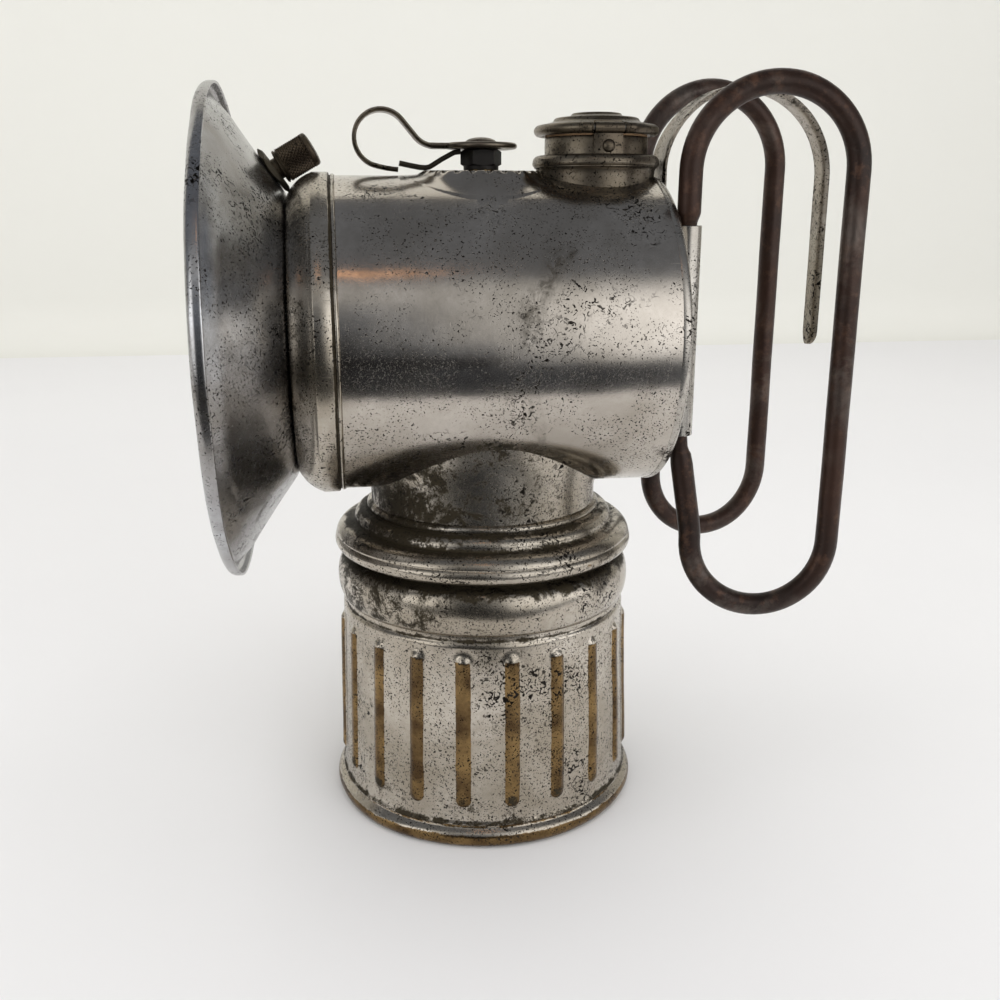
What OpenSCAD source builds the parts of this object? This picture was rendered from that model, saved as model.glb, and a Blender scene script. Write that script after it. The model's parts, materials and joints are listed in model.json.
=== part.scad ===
// Carbide hand lamp with a horizontal water tank, a screw-on carbide base and a carrying handle.
// Millimetres. The origin is the centre of the base's foot, +Z is up, the beam leaves along -X
// and the handle is at +X.

/* [Carbide base] */
// Outer radius of the rolled bead that the lamp stands on
foot_r = 35.3; // [34.8:0.1:36]
// Radius of the wire-like roll of that bead
foot_roll_r = 2.2; // [2:0.1:2.4]
// Outer radius of the base wall just above the bead
base_low_r = 33.6; // [33.2:0.1:33.8]
// Outer radius of the base wall at the top of its ribs
base_high_r = 32.4; // [32:0.1:32.8]
// Largest radius of the swelled band round the top of the base
band_r = 33.3; // [33:0.1:33.8]
// Outer radius of the collar that screws into the lamp head
collar_r = 29.2; // [28.8:0.1:29.2]
// Height of the top of the collar
collar_top_z = 63.4; // [63:0.1:63.5]
// Number of pressed ribs round the base
rib_count = 20; // [16:1:22]
// Lowest point of each rib
rib_low_z = 8.9; // [8:0.1:12]
// Highest point of each rib
rib_high_z = 43.9; // [36:0.1:44]
// Width of each rib
rib_width = 3.6; // [3:0.1:4]
// Sheet thickness of the base
base_sheet = 1; // [0.9:0.05:1.1]

/* [Water tank] */
// Outer radius of the horizontal tank
tank_r = 33; // [32.8:0.1:33.2]
// Height of the tank's axis above the foot
tank_z = 106.5; // [106:0.1:107]
// Rear face of the tank
tank_rear_x = 37.3; // [36.8:0.1:37.8]
// Front edge of the tank tube, under the front ring
tank_front_x = -35.2; // [-35.4:0.1:-35]
// Sheet thickness of the tank
tank_sheet = 0.7; // [0.6:0.05:0.8]
// Outer radius of the band of the front ring
ring_r = 33.6; // [33.5:0.05:33.8]
// Number of click dimples round the water valve
click_count = 24; // [16:2:28]
// Radius of the circle of click dimples
click_r = 11.8; // [11.5:0.1:11.9]

/* [Reflector] */
// Outer radius of the reflector's rolled rim
reflector_r = 50.8; // [50:0.1:51]
// Rise of the reflector's back per square millimetre of radius
dish = 0.00835; // [0.0083:0.0001:0.0085]
// Distance of the dish's deepest point in front of the lamp's centre line
dish_back = 33.6; // [33.5:0.1:33.8]
// Sheet thickness of the reflector
reflector_sheet = 0.6; // [0.5:0.05:0.7]

/* [Filler and water valve] */
// Distance of the filler's axis behind the valve's axis
filler_x = 24.7; // [24.5:0.1:24.8]
// Outer radius of the filler neck
neck_r = 10.9; // [10.7:0.05:11]
// Height of the filler neck's lip
neck_top_z = 147.2; // [147:0.1:147.3]
// Outer radius of the collar's flange
flange_r = 13.5; // [13.2:0.1:13.5]
// Outer radius of the lid's rolled rim
lid_r = 13.25; // [13:0.05:13.4]
// Radius of the valve stem
stem_r = 1.5; // [1.4:0.05:1.6]
// How far the lid opens, in degrees
lid_opening = 110; // [90:5:110]

/* [Handle] */
// Radius of the handle's wire
wire_r = 2.4; // [2.2:0.1:2.4]
// Distance of each wire's upright from the middle of the bracket
bracket_half = 18.5; // [18:0.1:19]
// Outward splay of each wire loop, in degrees
splay = 9.2; // [5:0.1:12]
// Radius of the bend at the bottom of each loop
low_bend_r = 15; // [14.5:0.1:15.5]
// Reach of the left-hand loop from the bracket
left_reach = 33.3; // [32:0.1:36]
// Highest point of the left-hand loop
left_top_z = 159.2; // [157:0.1:163]
// Lowest point of the left-hand loop
left_low_z = 45.4; // [44:0.1:52]
// Reach of the right-hand loop from the bracket
right_reach = 35.5; // [32:0.1:36]
// Highest point of the right-hand loop
right_top_z = 162; // [157:0.1:163]
// Lowest point of the right-hand loop
right_low_z = 50.8; // [44:0.1:52]
// Width of the hook strip where it leaves the bracket
hook_width = 10.5; // [9:0.5:11]
// Width of the hook strip at its tip
hook_tip_width = 6.6; // [5:0.2:8]
// Reach of the hook from its root
hook_reach = 36.8; // [34:0.2:38]
// Highest point of the hook
hook_top_z = 158.2; // [156:0.2:159]
// Lowest point of the hook's tip
hook_tip_z = 102.8; // [98:0.2:110]

/* [Striker] */
// Radius of the knurled flint cap
cap_r = 3.5; // [3.4:0.05:3.6]
// Length of the knurled flint cap
cap_length = 7.9; // [7.4:0.1:8.2]
// Number of flutes in the cap's knurl
knurl_count = 30; // [20:2:36]
// Radius of the striker wheel
wheel_r = 4.8; // [4.4:0.1:5]
// Number of teeth on the striker wheel
wheel_teeth = 28; // [20:2:32]

/* [Hidden] */

$fn = 96;

// Colours of the finishes
nickel = [0.66, 0.63, 0.58];
dark_nickel = [0.42, 0.38, 0.33];
brass_tone = [0.70, 0.55, 0.30];
rust = [0.24, 0.15, 0.12];
black = [0.10, 0.09, 0.08];

// Carbide base
foot_wear = 0.12;
cup_floor_z = 2.2;
wall_low_z = 4;
groove_z = 46.7;
band_low_z = 47.8;
band_high_z = 57.4;
rib_height = 0.5;
rib_turn = 3.3;
rib_r = (pow(rib_width / 2, 2) + pow(rib_height, 2)) / (2 * rib_height);
gasket_r = [25, 28.4];
gasket_z = [collar_top_z + 0.05, 64.9];

// Neck and skirt between the base and the tank
bead_roll_r = 1.9;
bead_r = 33.7;
bead_z = 61.1;
skirt_bore_r = 29.6;
step_r = 29.2;
step_z = 66;
head_neck_r = 25.3;
head_neck_bore_r = 24.5;
floor_r = 28.4;
floor_z = [65, 65.8];
felt_z = [63.2, 65];
felt_r = 23.6;

// Tank
tank_bore_r = tank_r - tank_sheet;
tank_top_z = tank_z + tank_r;
tank_low_z = tank_z - tank_r;
rear_sheet = 0.8;
ring_front = 40;
ring_neck_r = 28.2;
ring_sheet = 0.6;
head_back = 30.9;
head_front = 31.5;
boss_z = tank_top_z + 0.85;
boss_r = [14.6, 12.6];
boss_low_z = boss_z - 4;

// Water valve
seat_top_z = 79;
drip_low_z = 30;
drip_r = 2.4;
gland_r = 3.4;
nut_z = [boss_z + 0.2, 144.7];
plate_z = [144.8, 146];
plate_r = 7.6;
arm_width = 5.4;
arm_sheet = plate_z[1] - plate_z[0];
curl_r = 5.6;
curl_centre = [-20.8, 146.85];
curl_start = 40;
curl_end = 252;
curl_tail = 5.2;
bend_r = 5;
click_arm_width = 3;
click_sheet = 1.1;

// Gas way and burner
gas_x = -14;
gas_r = 2.5;
gas_bore_r = 1.8;
gas_bend_r = 8;
holder_r = 3.4;
holder_back = 26;
dish_swell = 1.2;
dish_radii = [for (i = [0:24]) 3.5 + (reflector_r - 4.5) * i / 24];

// Filler and lid
neck_wall = 0.8;
flange_z = [141.3, 143.6];
lower_collar_r = 12.4;
lid_roll_r = 1.1;
hinge_y = -11.6;
hinge_z = 148.6;
hinge_wire_r = 0.6;
hinge_half = 5.7;
strap_half = 3;

// Striker, measured along its own axis from the back of the reflector
striker_at = [-43.53, 0, 139.9];
striker_tilt = 60.2;
dish_tilt = 54.2;
tube_r = 2.2;
flint_r = 1.3;
wheel_drop = 9.2;
axle_r = 0.8;
wheel_half = 2;
ear_gap = 2.3;
ear_sheet = 0.8;
frame_top = -0.8;
frame_r = 5;
cap_start = 2.1;
cap_bore = 5.6;
tube_top = cap_start + cap_bore - 1.1;
spring_top = tube_top - 1.2;

// Handle
bracket_z = [86.4, 129.5];
bracket_sheet = 1;
upright_x = 40;
roll_r = 2.7;
neck_wire_r = 1.7;
neck_end = 9;
hook_sheet = 1.2;
hook_root_z = 92;

// Points along an arc of radius r about c, from angle a to angle b
function arc(c, r, a, b, n = 12) = oval(c, r, r, a, b, n);

// Points along an elliptical arc with half axes rx and ry
function oval(c, rx, ry, a, b, n = 10) =
    [for (i = [0:n]) let (t = a + (b - a) * i / n) c + [rx * cos(t), ry * sin(t)]];

// Points from a to b along a shallow bow that bulges away from the beam axis
function shoulder(a, b, bow, n = 8) =
    [for (i = [0:n]) let (t = i / n) a + (b - a) * t + 2.83 * bow * t * (1 - t) * [1, 1]];

// Solid of revolution about the beam axis: x is radius, y is distance in front of the centre
module about_beam() {
    translate([0, 0, tank_z]) rotate([0, -90, 0]) rotate_extrude() children();
}

// Frame whose +Z runs along the beam
module along_beam() {
    translate([0, 0, tank_z]) rotate([0, -90, 0]) children();
}

// Frame whose +Z runs out of the reflector's back along the flint tube
module along_striker() {
    translate(striker_at) rotate([0, striker_tilt, 0]) children();
}

// Frame at the same place whose +Z stands square to the reflector's sheet
module square_to_dish() {
    translate(striker_at) rotate([0, dish_tilt, 0]) children();
}

// A flat outline drawn in X and Z, given a width along Y and centred on it
module across(width) {
    translate([0, width / 2, 0]) rotate([90, 0, 0]) linear_extrude(width) children();
}

// Ring with a rectangular section
module ring(outer, inner, low, high) {
    translate([0, 0, low]) difference() {
        cylinder(h = high - low, r = outer);
        translate([0, 0, -1]) cylinder(h = high - low + 2, r = inner);
    }
}

// ---- Carbide base ----

// Outer radius of the base's tapered wall at height z
function wall_r(z) =
    base_low_r + (base_high_r - base_low_r) * (z - wall_low_z) / (groove_z - 1.2 - wall_low_z);

// One rib: a long round-ended swelling that leans with the wall
module rib() {
    low = rib_low_z;
    high = rib_high_z;
    end = rib_width / 2;
    off = rib_r - rib_height;
    lean = atan((wall_r(low) - wall_r(high)) / (high - low));
    translate([wall_r(low) - off, 0, low]) rotate([0, -lean, 0]) rotate_extrude($fn = 72)
        polygon(concat(
            [[0, 0], [off, 0]],
            [for (a = [20:14:90]) [off + rib_height * sin(a), end * (1 - cos(a))]],
            [for (a = [90:-14:20]) [off + rib_height * sin(a), high - low - end * (1 - cos(a))]],
            [[off, high - low], [0, high - low]]));
}

// Space inside the tapered wall, with half the sheet's thickness added so that the ribs stay in the wall
module inside_wall() {
    translate([0, 0, rib_low_z - 3]) cylinder(h = rib_high_z - rib_low_z + 6,
        r1 = wall_r(rib_low_z - 3) - base_sheet / 2, r2 = wall_r(rib_high_z + 3) - base_sheet / 2);
}

module carbide_cup() color(nickel) difference() {
    union() {
        rotate_extrude() union() {
            translate([foot_r - foot_roll_r, foot_roll_r - foot_wear]) circle(r = foot_roll_r, $fn = 48);
            polygon(concat(
                [[0, cup_floor_z], [foot_r - foot_roll_r, cup_floor_z], [base_low_r, wall_low_z],
                 [wall_r(groove_z - 1.2), groove_z - 1.2], [wall_r(groove_z) - 0.7, groove_z - 0.4],
                 [wall_r(groove_z) - 0.7, groove_z + 0.4]],
                oval([band_r - 2.4, (band_low_z + band_high_z) / 2], 2.4, (band_high_z - band_low_z) / 2,
                     -62, 62),
                [[collar_r, band_high_z + 0.3], [collar_r, collar_top_z],
                 [collar_r - base_sheet, collar_top_z], [collar_r - base_sheet, band_high_z - 0.4],
                 [band_r - base_sheet - 0.9, band_high_z - 2],
                 [band_r - base_sheet - 0.9, band_low_z + 1.5],
                 [base_high_r - base_sheet - 0.3, groove_z - 1], [base_low_r - base_sheet, wall_low_z + 1],
                 [base_low_r - base_sheet - 1, cup_floor_z + base_sheet],
                 [0, cup_floor_z + base_sheet]]));
        }
        difference() {
            for (i = [0:rib_count - 1]) rotate([0, 0, 360 / rib_count * i + rib_turn]) rib();
            inside_wall();
        }
    }
    translate([0, 0, -1]) cylinder(h = 1, r = foot_r + 1);
}

module base_gasket() color(black) ring(gasket_r[1], gasket_r[0], gasket_z[0], gasket_z[1]);

// ---- Head: skirt, gas floor and filter ----

module neck_skirt() color(nickel) difference() {
    rotate_extrude() union() {
        translate([bead_r - bead_roll_r, bead_z]) circle(r = bead_roll_r, $fn = 48);
        polygon(concat(
            [[bead_r - bead_roll_r, bead_z - 0.9], [bead_r - bead_roll_r, bead_z + 0.9]],
            oval([29.7, 62.4], 3.1, 3.1, 8, 90),
            [[step_r, 65.5]],
            oval([26, step_z], step_r - 26, 2.2, 0, 80),
            [[head_neck_r, 68.2], [head_neck_r, tank_z - 12], [head_neck_bore_r, tank_z - 12],
             [head_neck_bore_r, 67.4]],
            oval([26, step_z], floor_r - 26, 1.4, 90, 0),
            [[floor_r, floor_z[0]], [skirt_bore_r, 64.3], [skirt_bore_r, bead_z - 0.9]]));
    }
    translate([-50, 0, tank_z]) rotate([0, 90, 0]) cylinder(h = 100, r = tank_r);
}

module gas_floor() color(dark_nickel) difference() {
    translate([0, 0, floor_z[0]]) cylinder(h = floor_z[1] - floor_z[0], r = floor_r);
    translate([gas_x, 0, 60]) cylinder(h = 10, r = gas_r);
    translate([0, 0, 60]) cylinder(h = 10, r = drip_r);
}

// Felt disc over the mouth of the gas tube, with the drip tube through its middle
module filter_felt() color([0.55, 0.50, 0.40]) ring(felt_r, drip_r, felt_z[0], felt_z[1]);

// Perforated plate that holds the felt up, pushed over the drip tube
module filter_retainer() color(brass_tone) difference() {
    translate([0, 0, felt_z[0] - 0.6]) cylinder(h = 0.6, r = felt_r);
    translate([0, 0, 60]) cylinder(h = 10, r = drip_r);
    for (ring_r = [8, 14, 20]) for (a = [0:360 / ring_r * 1.25:359])
        rotate([0, 0, a]) translate([ring_r, 0, 60]) cylinder(h = 10, r = 1, $fn = 24);
}

// ---- Tank ----

module tank_shell() color(nickel) difference() {
    union() {
        along_beam() translate([0, 0, rear_sheet - tank_rear_x])
            cylinder(h = tank_rear_x - rear_sheet - tank_front_x, r = tank_r);
        difference() {
            translate([0, 0, boss_low_z])
                cylinder(h = boss_z - boss_low_z, r1 = boss_r[0], r2 = boss_r[1]);
            translate([filler_x, 0, boss_low_z - 1]) cylinder(h = 8, r = lower_collar_r);
        }
    }
    along_beam() translate([0, 0, -tank_rear_x - 1]) cylinder(h = 90, r = tank_bore_r);
    translate([filler_x, 0, tank_z]) cylinder(h = 50, r = neck_r);
    translate([0, 0, tank_z]) cylinder(h = 50, r = gland_r);
    translate([gas_x, 0, tank_low_z - 1]) cylinder(h = 20, r = gas_r);
    translate([0, 0, tank_low_z - 1]) cylinder(h = 20, r = gland_r);
    for (i = [0:click_count - 1]) rotate([0, 0, 360 / click_count * i])
        translate([click_r, 0, boss_z + 0.5]) sphere(r = 1, $fn = 24);
}

module front_head() color(dark_nickel) along_beam() difference() {
    translate([0, 0, head_back]) cylinder(h = head_front - head_back, r = tank_bore_r);
    translate([0, 0, head_back - 1]) cylinder(h = 3, r = holder_r);
}

module rear_head() color(nickel) along_beam() rotate_extrude()
    polygon(concat([[0, rear_sheet - tank_rear_x]], [[tank_r, rear_sheet - tank_rear_x]],
        arc([tank_r - 0.7, 0.7 - tank_rear_x], 0.7, 0, -90, 6), [[0, -tank_rear_x]]));

// Drawn ring that trims the front of the tank and carries the back of the reflector
module front_ring() color(nickel) about_beam()
    polygon(concat(
        [[tank_r, 31.5], [ring_r, 31.5]],
        shoulder([ring_r, 0.3 - tank_front_x], [ring_neck_r + 1.2, ring_front + 0.3], 0.6),
        [[ring_neck_r, ring_front], [ring_neck_r - 0.4, ring_front - 0.25],
         [ring_neck_r - 0.4, ring_front - ring_sheet - 0.25]],
        shoulder([ring_neck_r + 1, ring_front - ring_sheet + 0.2], [tank_r - 0.1, -tank_front_x], 0.5),
        [[tank_r, -tank_front_x]]));

// ---- Water valve ----

module valve_seat() color(brass_tone) difference() {
    union() {
        translate([0, 0, tank_low_z - 2]) cylinder(h = seat_top_z - tank_low_z + 2, r = gland_r);
        translate([0, 0, tank_low_z + tank_sheet + 0.6]) cylinder(h = 1.4, r = 5);
    }
    translate([0, 0, tank_low_z - 3]) cylinder(h = 4, r = drip_r);
    translate([0, 0, tank_low_z]) cylinder(h = 20, r = 0.8, $fn = 32);
    translate([0, 0, seat_top_z - 2]) cylinder(h = 2.1, r1 = 0.8, r2 = stem_r + 0.4, $fn = 32);
}

module drip_tube() color(brass_tone) ring(drip_r, 1.5, drip_low_z, tank_low_z + 1);

module gland_bush() color(brass_tone) difference() {
    translate([0, 0, boss_z - 5]) cylinder(h = 5.2, r = gland_r);
    translate([0, 0, boss_z - 6]) cylinder(h = 8, r = stem_r + 0.05);
}

module gland_packing() color([0.35, 0.33, 0.30])
    ring(gland_r - 0.6, stem_r + 0.05, boss_z + 0.2, boss_z + 1.9);

module packing_nut() color(black) difference() {
    union() {
        translate([0, 0, nut_z[0]]) cylinder(h = 1, r = 3.75);
        translate([0, 0, nut_z[0] + 0.8]) cylinder(h = nut_z[1] - nut_z[0] - 0.8, r = 4.35, $fn = 6);
    }
    translate([0, 0, nut_z[0] - 1]) cylinder(h = boss_z + 1.9 - nut_z[0] + 1, r = gland_r - 0.6);
    translate([0, 0, nut_z[0]]) cylinder(h = 6, r = stem_r + 0.05);
}

module valve_stem() color(brass_tone) rotate_extrude()
    polygon([[0, seat_top_z - 1.6], [0.25, seat_top_z - 1.6], [stem_r, seat_top_z + 0.4],
             [stem_r, plate_z[1]], [0, plate_z[1]]]);

// Outline of a strip of one thickness that follows a list of points
function strip(path, thick) = let (
    n = len(path) - 1,
    side = [for (i = [0:n])
        let (a = path[max(i - 1, 0)], b = path[min(i + 1, n)], d = (b - a) / norm(b - a))
        [-d[1], d[0]] * thick / 2])
    concat([for (i = [0:n]) path[i] + side[i]], [for (i = [n:-1:0]) path[i] - side[i]]);

// Centre line of the lever's arm: out from the plate, up in an ogee and round the finger curl
function lever_line() = let (
    mid = (plate_z[0] + plate_z[1]) / 2,
    top = curl_centre + curl_r * [cos(curl_start), sin(curl_start)],
    drop = top[1] - mid - bend_r * (1 - cos(90 - curl_start)),
    run = drop / tan(90 - curl_start),
    bend_x = top[0] + run + bend_r * sin(90 - curl_start),
    tail = curl_centre + curl_r * [cos(curl_end), sin(curl_end)])
    concat([[-4, mid]], arc([bend_x, mid + bend_r], bend_r, 270, 180 + curl_start, 6),
        arc(curl_centre, curl_r, curl_start, curl_end, 24),
        [tail + curl_tail * [cos(curl_end + 95), sin(curl_end + 95)]]);

module valve_lever() color(dark_nickel) union() {
    ring(plate_r, stem_r, plate_z[0], plate_z[1]);
    difference() {
        across(arm_width) polygon(strip(lever_line(), arm_sheet));
        translate([0, 0, 140]) cylinder(h = 20, r = 5);
    }
}

// Spring finger under the lever that drops into the click dimples
module click_spring() color(black) across(click_arm_width)
    polygon(strip([[-5, plate_z[0] - click_sheet / 2], [-6.2, plate_z[0] - click_sheet / 2 - 0.3],
        [-10.4, boss_z + 1.35], [-11.6, boss_z + 0.75], [-13, boss_z + 0.8], [-17.3, boss_z + 1.6]],
        click_sheet));

module lever_screw() color(nickel) rotate_extrude()
    polygon(concat([[0, plate_z[1]]], [for (a = [0:10:90]) [3.3 * cos(a), plate_z[1] + 1.15 * sin(a)]]));

// ---- Gas way, burner and reflector ----

// Upright from the gas floor, a quarter bend, and a level run to the burner holder
module gas_way(r, extra) {
    translate([gas_x, 0, floor_z[0] - extra])
        cylinder(h = tank_z - gas_bend_r - floor_z[0] + extra, r = r);
    translate([gas_x - gas_bend_r, 0, tank_z - gas_bend_r]) rotate([90, 0, 0])
        rotate_extrude(angle = 90) translate([gas_bend_r, 0]) circle(r = r, $fn = 32);
    along_beam() translate([0, 0, gas_bend_r - gas_x])
        cylinder(h = 30 - gas_bend_r + gas_x + extra, r = r);
}

module gas_tube() color(brass_tone) difference() {
    gas_way(gas_r, 0);
    gas_way(gas_bore_r, 1);
}

module burner_holder() color(brass_tone) along_beam() difference() {
    union() {
        translate([0, 0, holder_back]) cylinder(h = 42 - holder_back, r = holder_r);
        translate([0, 0, head_front]) cylinder(h = 1.9, r = 6.5);
    }
    translate([0, 0, holder_back - 1]) cylinder(h = 5, r = gas_r);
    translate([0, 0, holder_back]) cylinder(h = 30, r = 1.2, $fn = 32);
    translate([0, 0, 39]) cylinder(h = 5, r = 2);
}

module burner_nut() color(brass_tone) along_beam() difference() {
    translate([0, 0, 34.6]) cylinder(h = 3, r = 6.4, $fn = 6);
    translate([0, 0, 30]) cylinder(h = 10, r = holder_r);
}

module burner_tip() color([0.88, 0.84, 0.76]) along_beam() difference() {
    rotate_extrude() polygon([[0, 39], [2, 39], [2, 42], [3.1, 42], [3.1, 46], [2.2, 50], [0, 50]]);
    translate([0, 0, 38]) cylinder(h = 9.5, r = 0.9, $fn = 24);
    translate([0, 0, 46]) cylinder(h = 6, r = 0.4, $fn = 24);
}

// Distance in front of the lamp's centre of the reflector's back at radius r
function dish_at(r) = dish_back + dish * r * r + (r > 30 ? dish_swell * sin(9 * (r - 30)) : 0);

module reflector() color(nickel) difference() {
    about_beam() union() {
        translate([reflector_r - 1.2, dish_at(reflector_r - 1.2) + 0.5]) circle(r = 1.2, $fn = 40);
        polygon(concat(
            [for (r = dish_radii) [r, dish_at(r)]],
            [for (i = [24:-1:0]) [dish_radii[i], dish_at(dish_radii[i]) + reflector_sheet]]));
    }
    along_striker() translate([0, 0, -6]) cylinder(h = 12, r = tube_r);
}

// ---- Filler and lid ----

module filler_neck() color(nickel) difference() {
    translate([filler_x, 0, 0]) ring(neck_r, neck_r - neck_wall, tank_z + 28, neck_top_z);
    along_beam() translate([0, 0, -60]) cylinder(h = 120, r = tank_bore_r);
}

module filler_collar() color(nickel) difference() {
    translate([filler_x, 0, 0]) rotate_extrude()
        polygon(concat(
            [[neck_r, tank_z + 28], [lower_collar_r, tank_z + 28], [lower_collar_r, flange_z[0]],
             [flange_r, flange_z[0]]],
            arc([flange_r - 1.3, flange_z[1] - 1.3], 1.3, 0, 90, 6), [[neck_r, flange_z[1]]]));
    along_beam() translate([0, 0, -60]) cylinder(h = 120, r = tank_r);
}

// Strap riveted to the neck, rolled round the hinge wire at its top
module hinge_strap() color(nickel) translate([filler_x, 0, 0]) difference() {
    union() {
        intersection() {
            ring(neck_r + 0.7, neck_r, flange_z[1], hinge_z);
            translate([-strap_half, -20, 100]) cube([2 * strap_half, 20, 60]);
        }
        translate([-strap_half, hinge_y, hinge_z]) rotate([0, 90, 0])
            cylinder(h = 2 * strap_half, r = lid_roll_r, $fn = 40);
    }
    translate([-10, hinge_y, hinge_z]) rotate([0, 90, 0]) cylinder(h = 20, r = hinge_wire_r, $fn = 32);
    translate([0, -neck_r + 2, 145.1]) rotate([90, 0, 0]) cylinder(h = 6, r = 0.7, $fn = 32);
    cylinder(h = 300, r = neck_r);
}

module hinge_rivet() color(nickel) translate([filler_x, -neck_r, 145.1]) rotate([90, 0, 0]) {
    cylinder(h = 0.8, r = 0.7, $fn = 32);
    translate([0, 0, 0.8]) rotate_extrude($fn = 32)
        polygon([for (a = [0:15:90]) [1.3 * cos(a), 0.8 * sin(a)], [0, 0]]);
}

module hinge_wire() color(dark_nickel) translate([filler_x - hinge_half, hinge_y, hinge_z])
    rotate([0, 90, 0]) cylinder(h = 2 * hinge_half, r = hinge_wire_r, $fn = 32);

module filler_lid() color(nickel) translate([filler_x, 0, 0]) difference() {
    union() {
        rotate_extrude() union() {
            translate([lid_r - lid_roll_r, hinge_z]) circle(r = lid_roll_r, $fn = 40);
            polygon([[0, 152.2], [5.4, 152.2], [5.9, 151.7], [8.6, 151.2], [9.4, 150.4],
                     [lid_r - lid_roll_r, 149.7], [lid_r - lid_roll_r, 148.3], [8, 148.3], [7.6, 150],
                     [4.9, 150.7], [4.5, 151.3], [0, 151.3]]);
        }
        for (x = [-hinge_half, strap_half + 0.3]) translate([x, hinge_y, hinge_z]) rotate([0, 90, 0])
            cylinder(h = hinge_half - strap_half - 0.3, r = lid_roll_r - 0.05, $fn = 40);
    }
    translate([-strap_half - 0.3, -20, 140]) cube([2 * strap_half + 0.6, 9.8, 20]);
    translate([-hinge_half - 0.1, hinge_y, hinge_z]) rotate([0, 90, 0])
        cylinder(h = 2 * hinge_half + 0.2, r = hinge_wire_r + 0.06, $fn = 32);
}

module lid_gasket() color([0.45, 0.33, 0.20]) translate([filler_x, 0, 0]) difference() {
    ring(neck_r - 0.1, 8, neck_top_z + 0.05, 148.3);
    translate([-strap_half - 0.3, -20, 140]) cube([2 * strap_half + 0.6, 9.8, 20]);
}

// ---- Striker ----

module flint_tube() color(brass_tone) along_striker()
    ring(tube_r, flint_r + 0.1, wheel_r - wheel_drop + 0.5, tube_top);

module striker_nut() color(dark_nickel) difference() {
    square_to_dish() rotate([0, 0, 30]) translate([0, 0, 0.1]) cylinder(h = 1.2, r = 5.2, $fn = 6);
    along_striker() translate([0, 0, -2]) cylinder(h = 5, r = tube_r);
}

// Two ears on a plate inside the bowl, which carry the wheel's axle
module striker_frame() color(nickel) difference() {
    union() {
        square_to_dish() translate([0, 0, frame_top - ear_sheet]) cylinder(h = ear_sheet, r = frame_r);
        for (side = [-1, 1]) along_striker() translate([0, side * (ear_gap + ear_sheet / 2), 0])
            across(ear_sheet) polygon([[-3.6, frame_top - 0.6], [3.6, frame_top + 0.2],
                [1.8, -wheel_drop - 1.6], [-1.8, -wheel_drop - 1.6]]);
    }
    along_striker() translate([0, 0, -12]) cylinder(h = 14, r = tube_r);
    along_striker() translate([0, -5, -wheel_drop]) rotate([-90, 0, 0])
        cylinder(h = 10, r = axle_r, $fn = 32);
}

module striker_axle() color(dark_nickel) along_striker() translate([0, -3.6, -wheel_drop])
    rotate([-90, 0, 0]) cylinder(h = 7.2, r = axle_r, $fn = 32);

module striker_wheel() color(dark_nickel) along_striker() translate([0, wheel_half, -wheel_drop])
    rotate([90, 0, 0]) difference() {
        linear_extrude(2 * wheel_half)
            polygon([for (i = [0:2 * wheel_teeth - 1]) (i % 2 == 0 ? wheel_r : wheel_r - 0.45)
                * [cos(180 / wheel_teeth * i), sin(180 / wheel_teeth * i)]]);
        translate([0, 0, -1]) cylinder(h = 6, r = axle_r + 0.05, $fn = 32);
    }

module flint() color([0.30, 0.30, 0.32]) along_striker() translate([0, 0, wheel_r - wheel_drop + 0.15])
    cylinder(h = 5, r = flint_r, $fn = 32);

// Spring between the flint and its follower, drawn as the sleeve that it fills
module flint_spring() color(nickel) along_striker()
    ring(flint_r - 0.1, flint_r - 0.6, wheel_r - wheel_drop + 5.15, spring_top);

// Headed plug that closes the spring into the tube and is pressed in by the cap
module spring_follower() color(brass_tone) along_striker() rotate_extrude()
    polygon([[0, spring_top], [flint_r, spring_top], [flint_r, tube_top + 0.1],
             [tube_r - 0.2, tube_top + 0.1], [tube_r - 0.2, cap_start + cap_bore - 0.1],
             [0, cap_start + cap_bore - 0.1]]);

module flint_cap() color(rust) along_striker() difference() {
    translate([0, 0, cap_start]) rotate_extrude()
        polygon([[0, 0], [cap_r - 0.35, 0], [cap_r, 0.35], [cap_r, cap_length - 0.7],
                 [cap_r - 0.7, cap_length], [0, cap_length]]);
    translate([0, 0, cap_start - 1]) cylinder(h = cap_bore + 1, r = tube_r + 0.1);
    for (i = [0:knurl_count - 1]) rotate([0, 0, 360 / knurl_count * i])
        translate([cap_r + 0.12, 0, cap_start + 1.4]) cylinder(h = cap_length - 2.2, r = 0.28, $fn = 4);
}

// ---- Handle ----

// Plate on the rear head with a rolled tube down each side, which grips the wires' ends
module handle_bracket() color(nickel) union() {
    translate([tank_rear_x, -bracket_half, bracket_z[0]])
        cube([bracket_sheet, 2 * bracket_half, bracket_z[1] - bracket_z[0]]);
    for (side = [-1, 1]) translate([upright_x, side * bracket_half, 0]) difference() {
        ring(roll_r, neck_wire_r, bracket_z[0], bracket_z[1]);
        translate([-roll_r - 1, -roll_r - 1, 0])
            cube([1 + roll_r - upright_x + tank_rear_x, 2 * roll_r + 2, 200]);
    }
}

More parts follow.
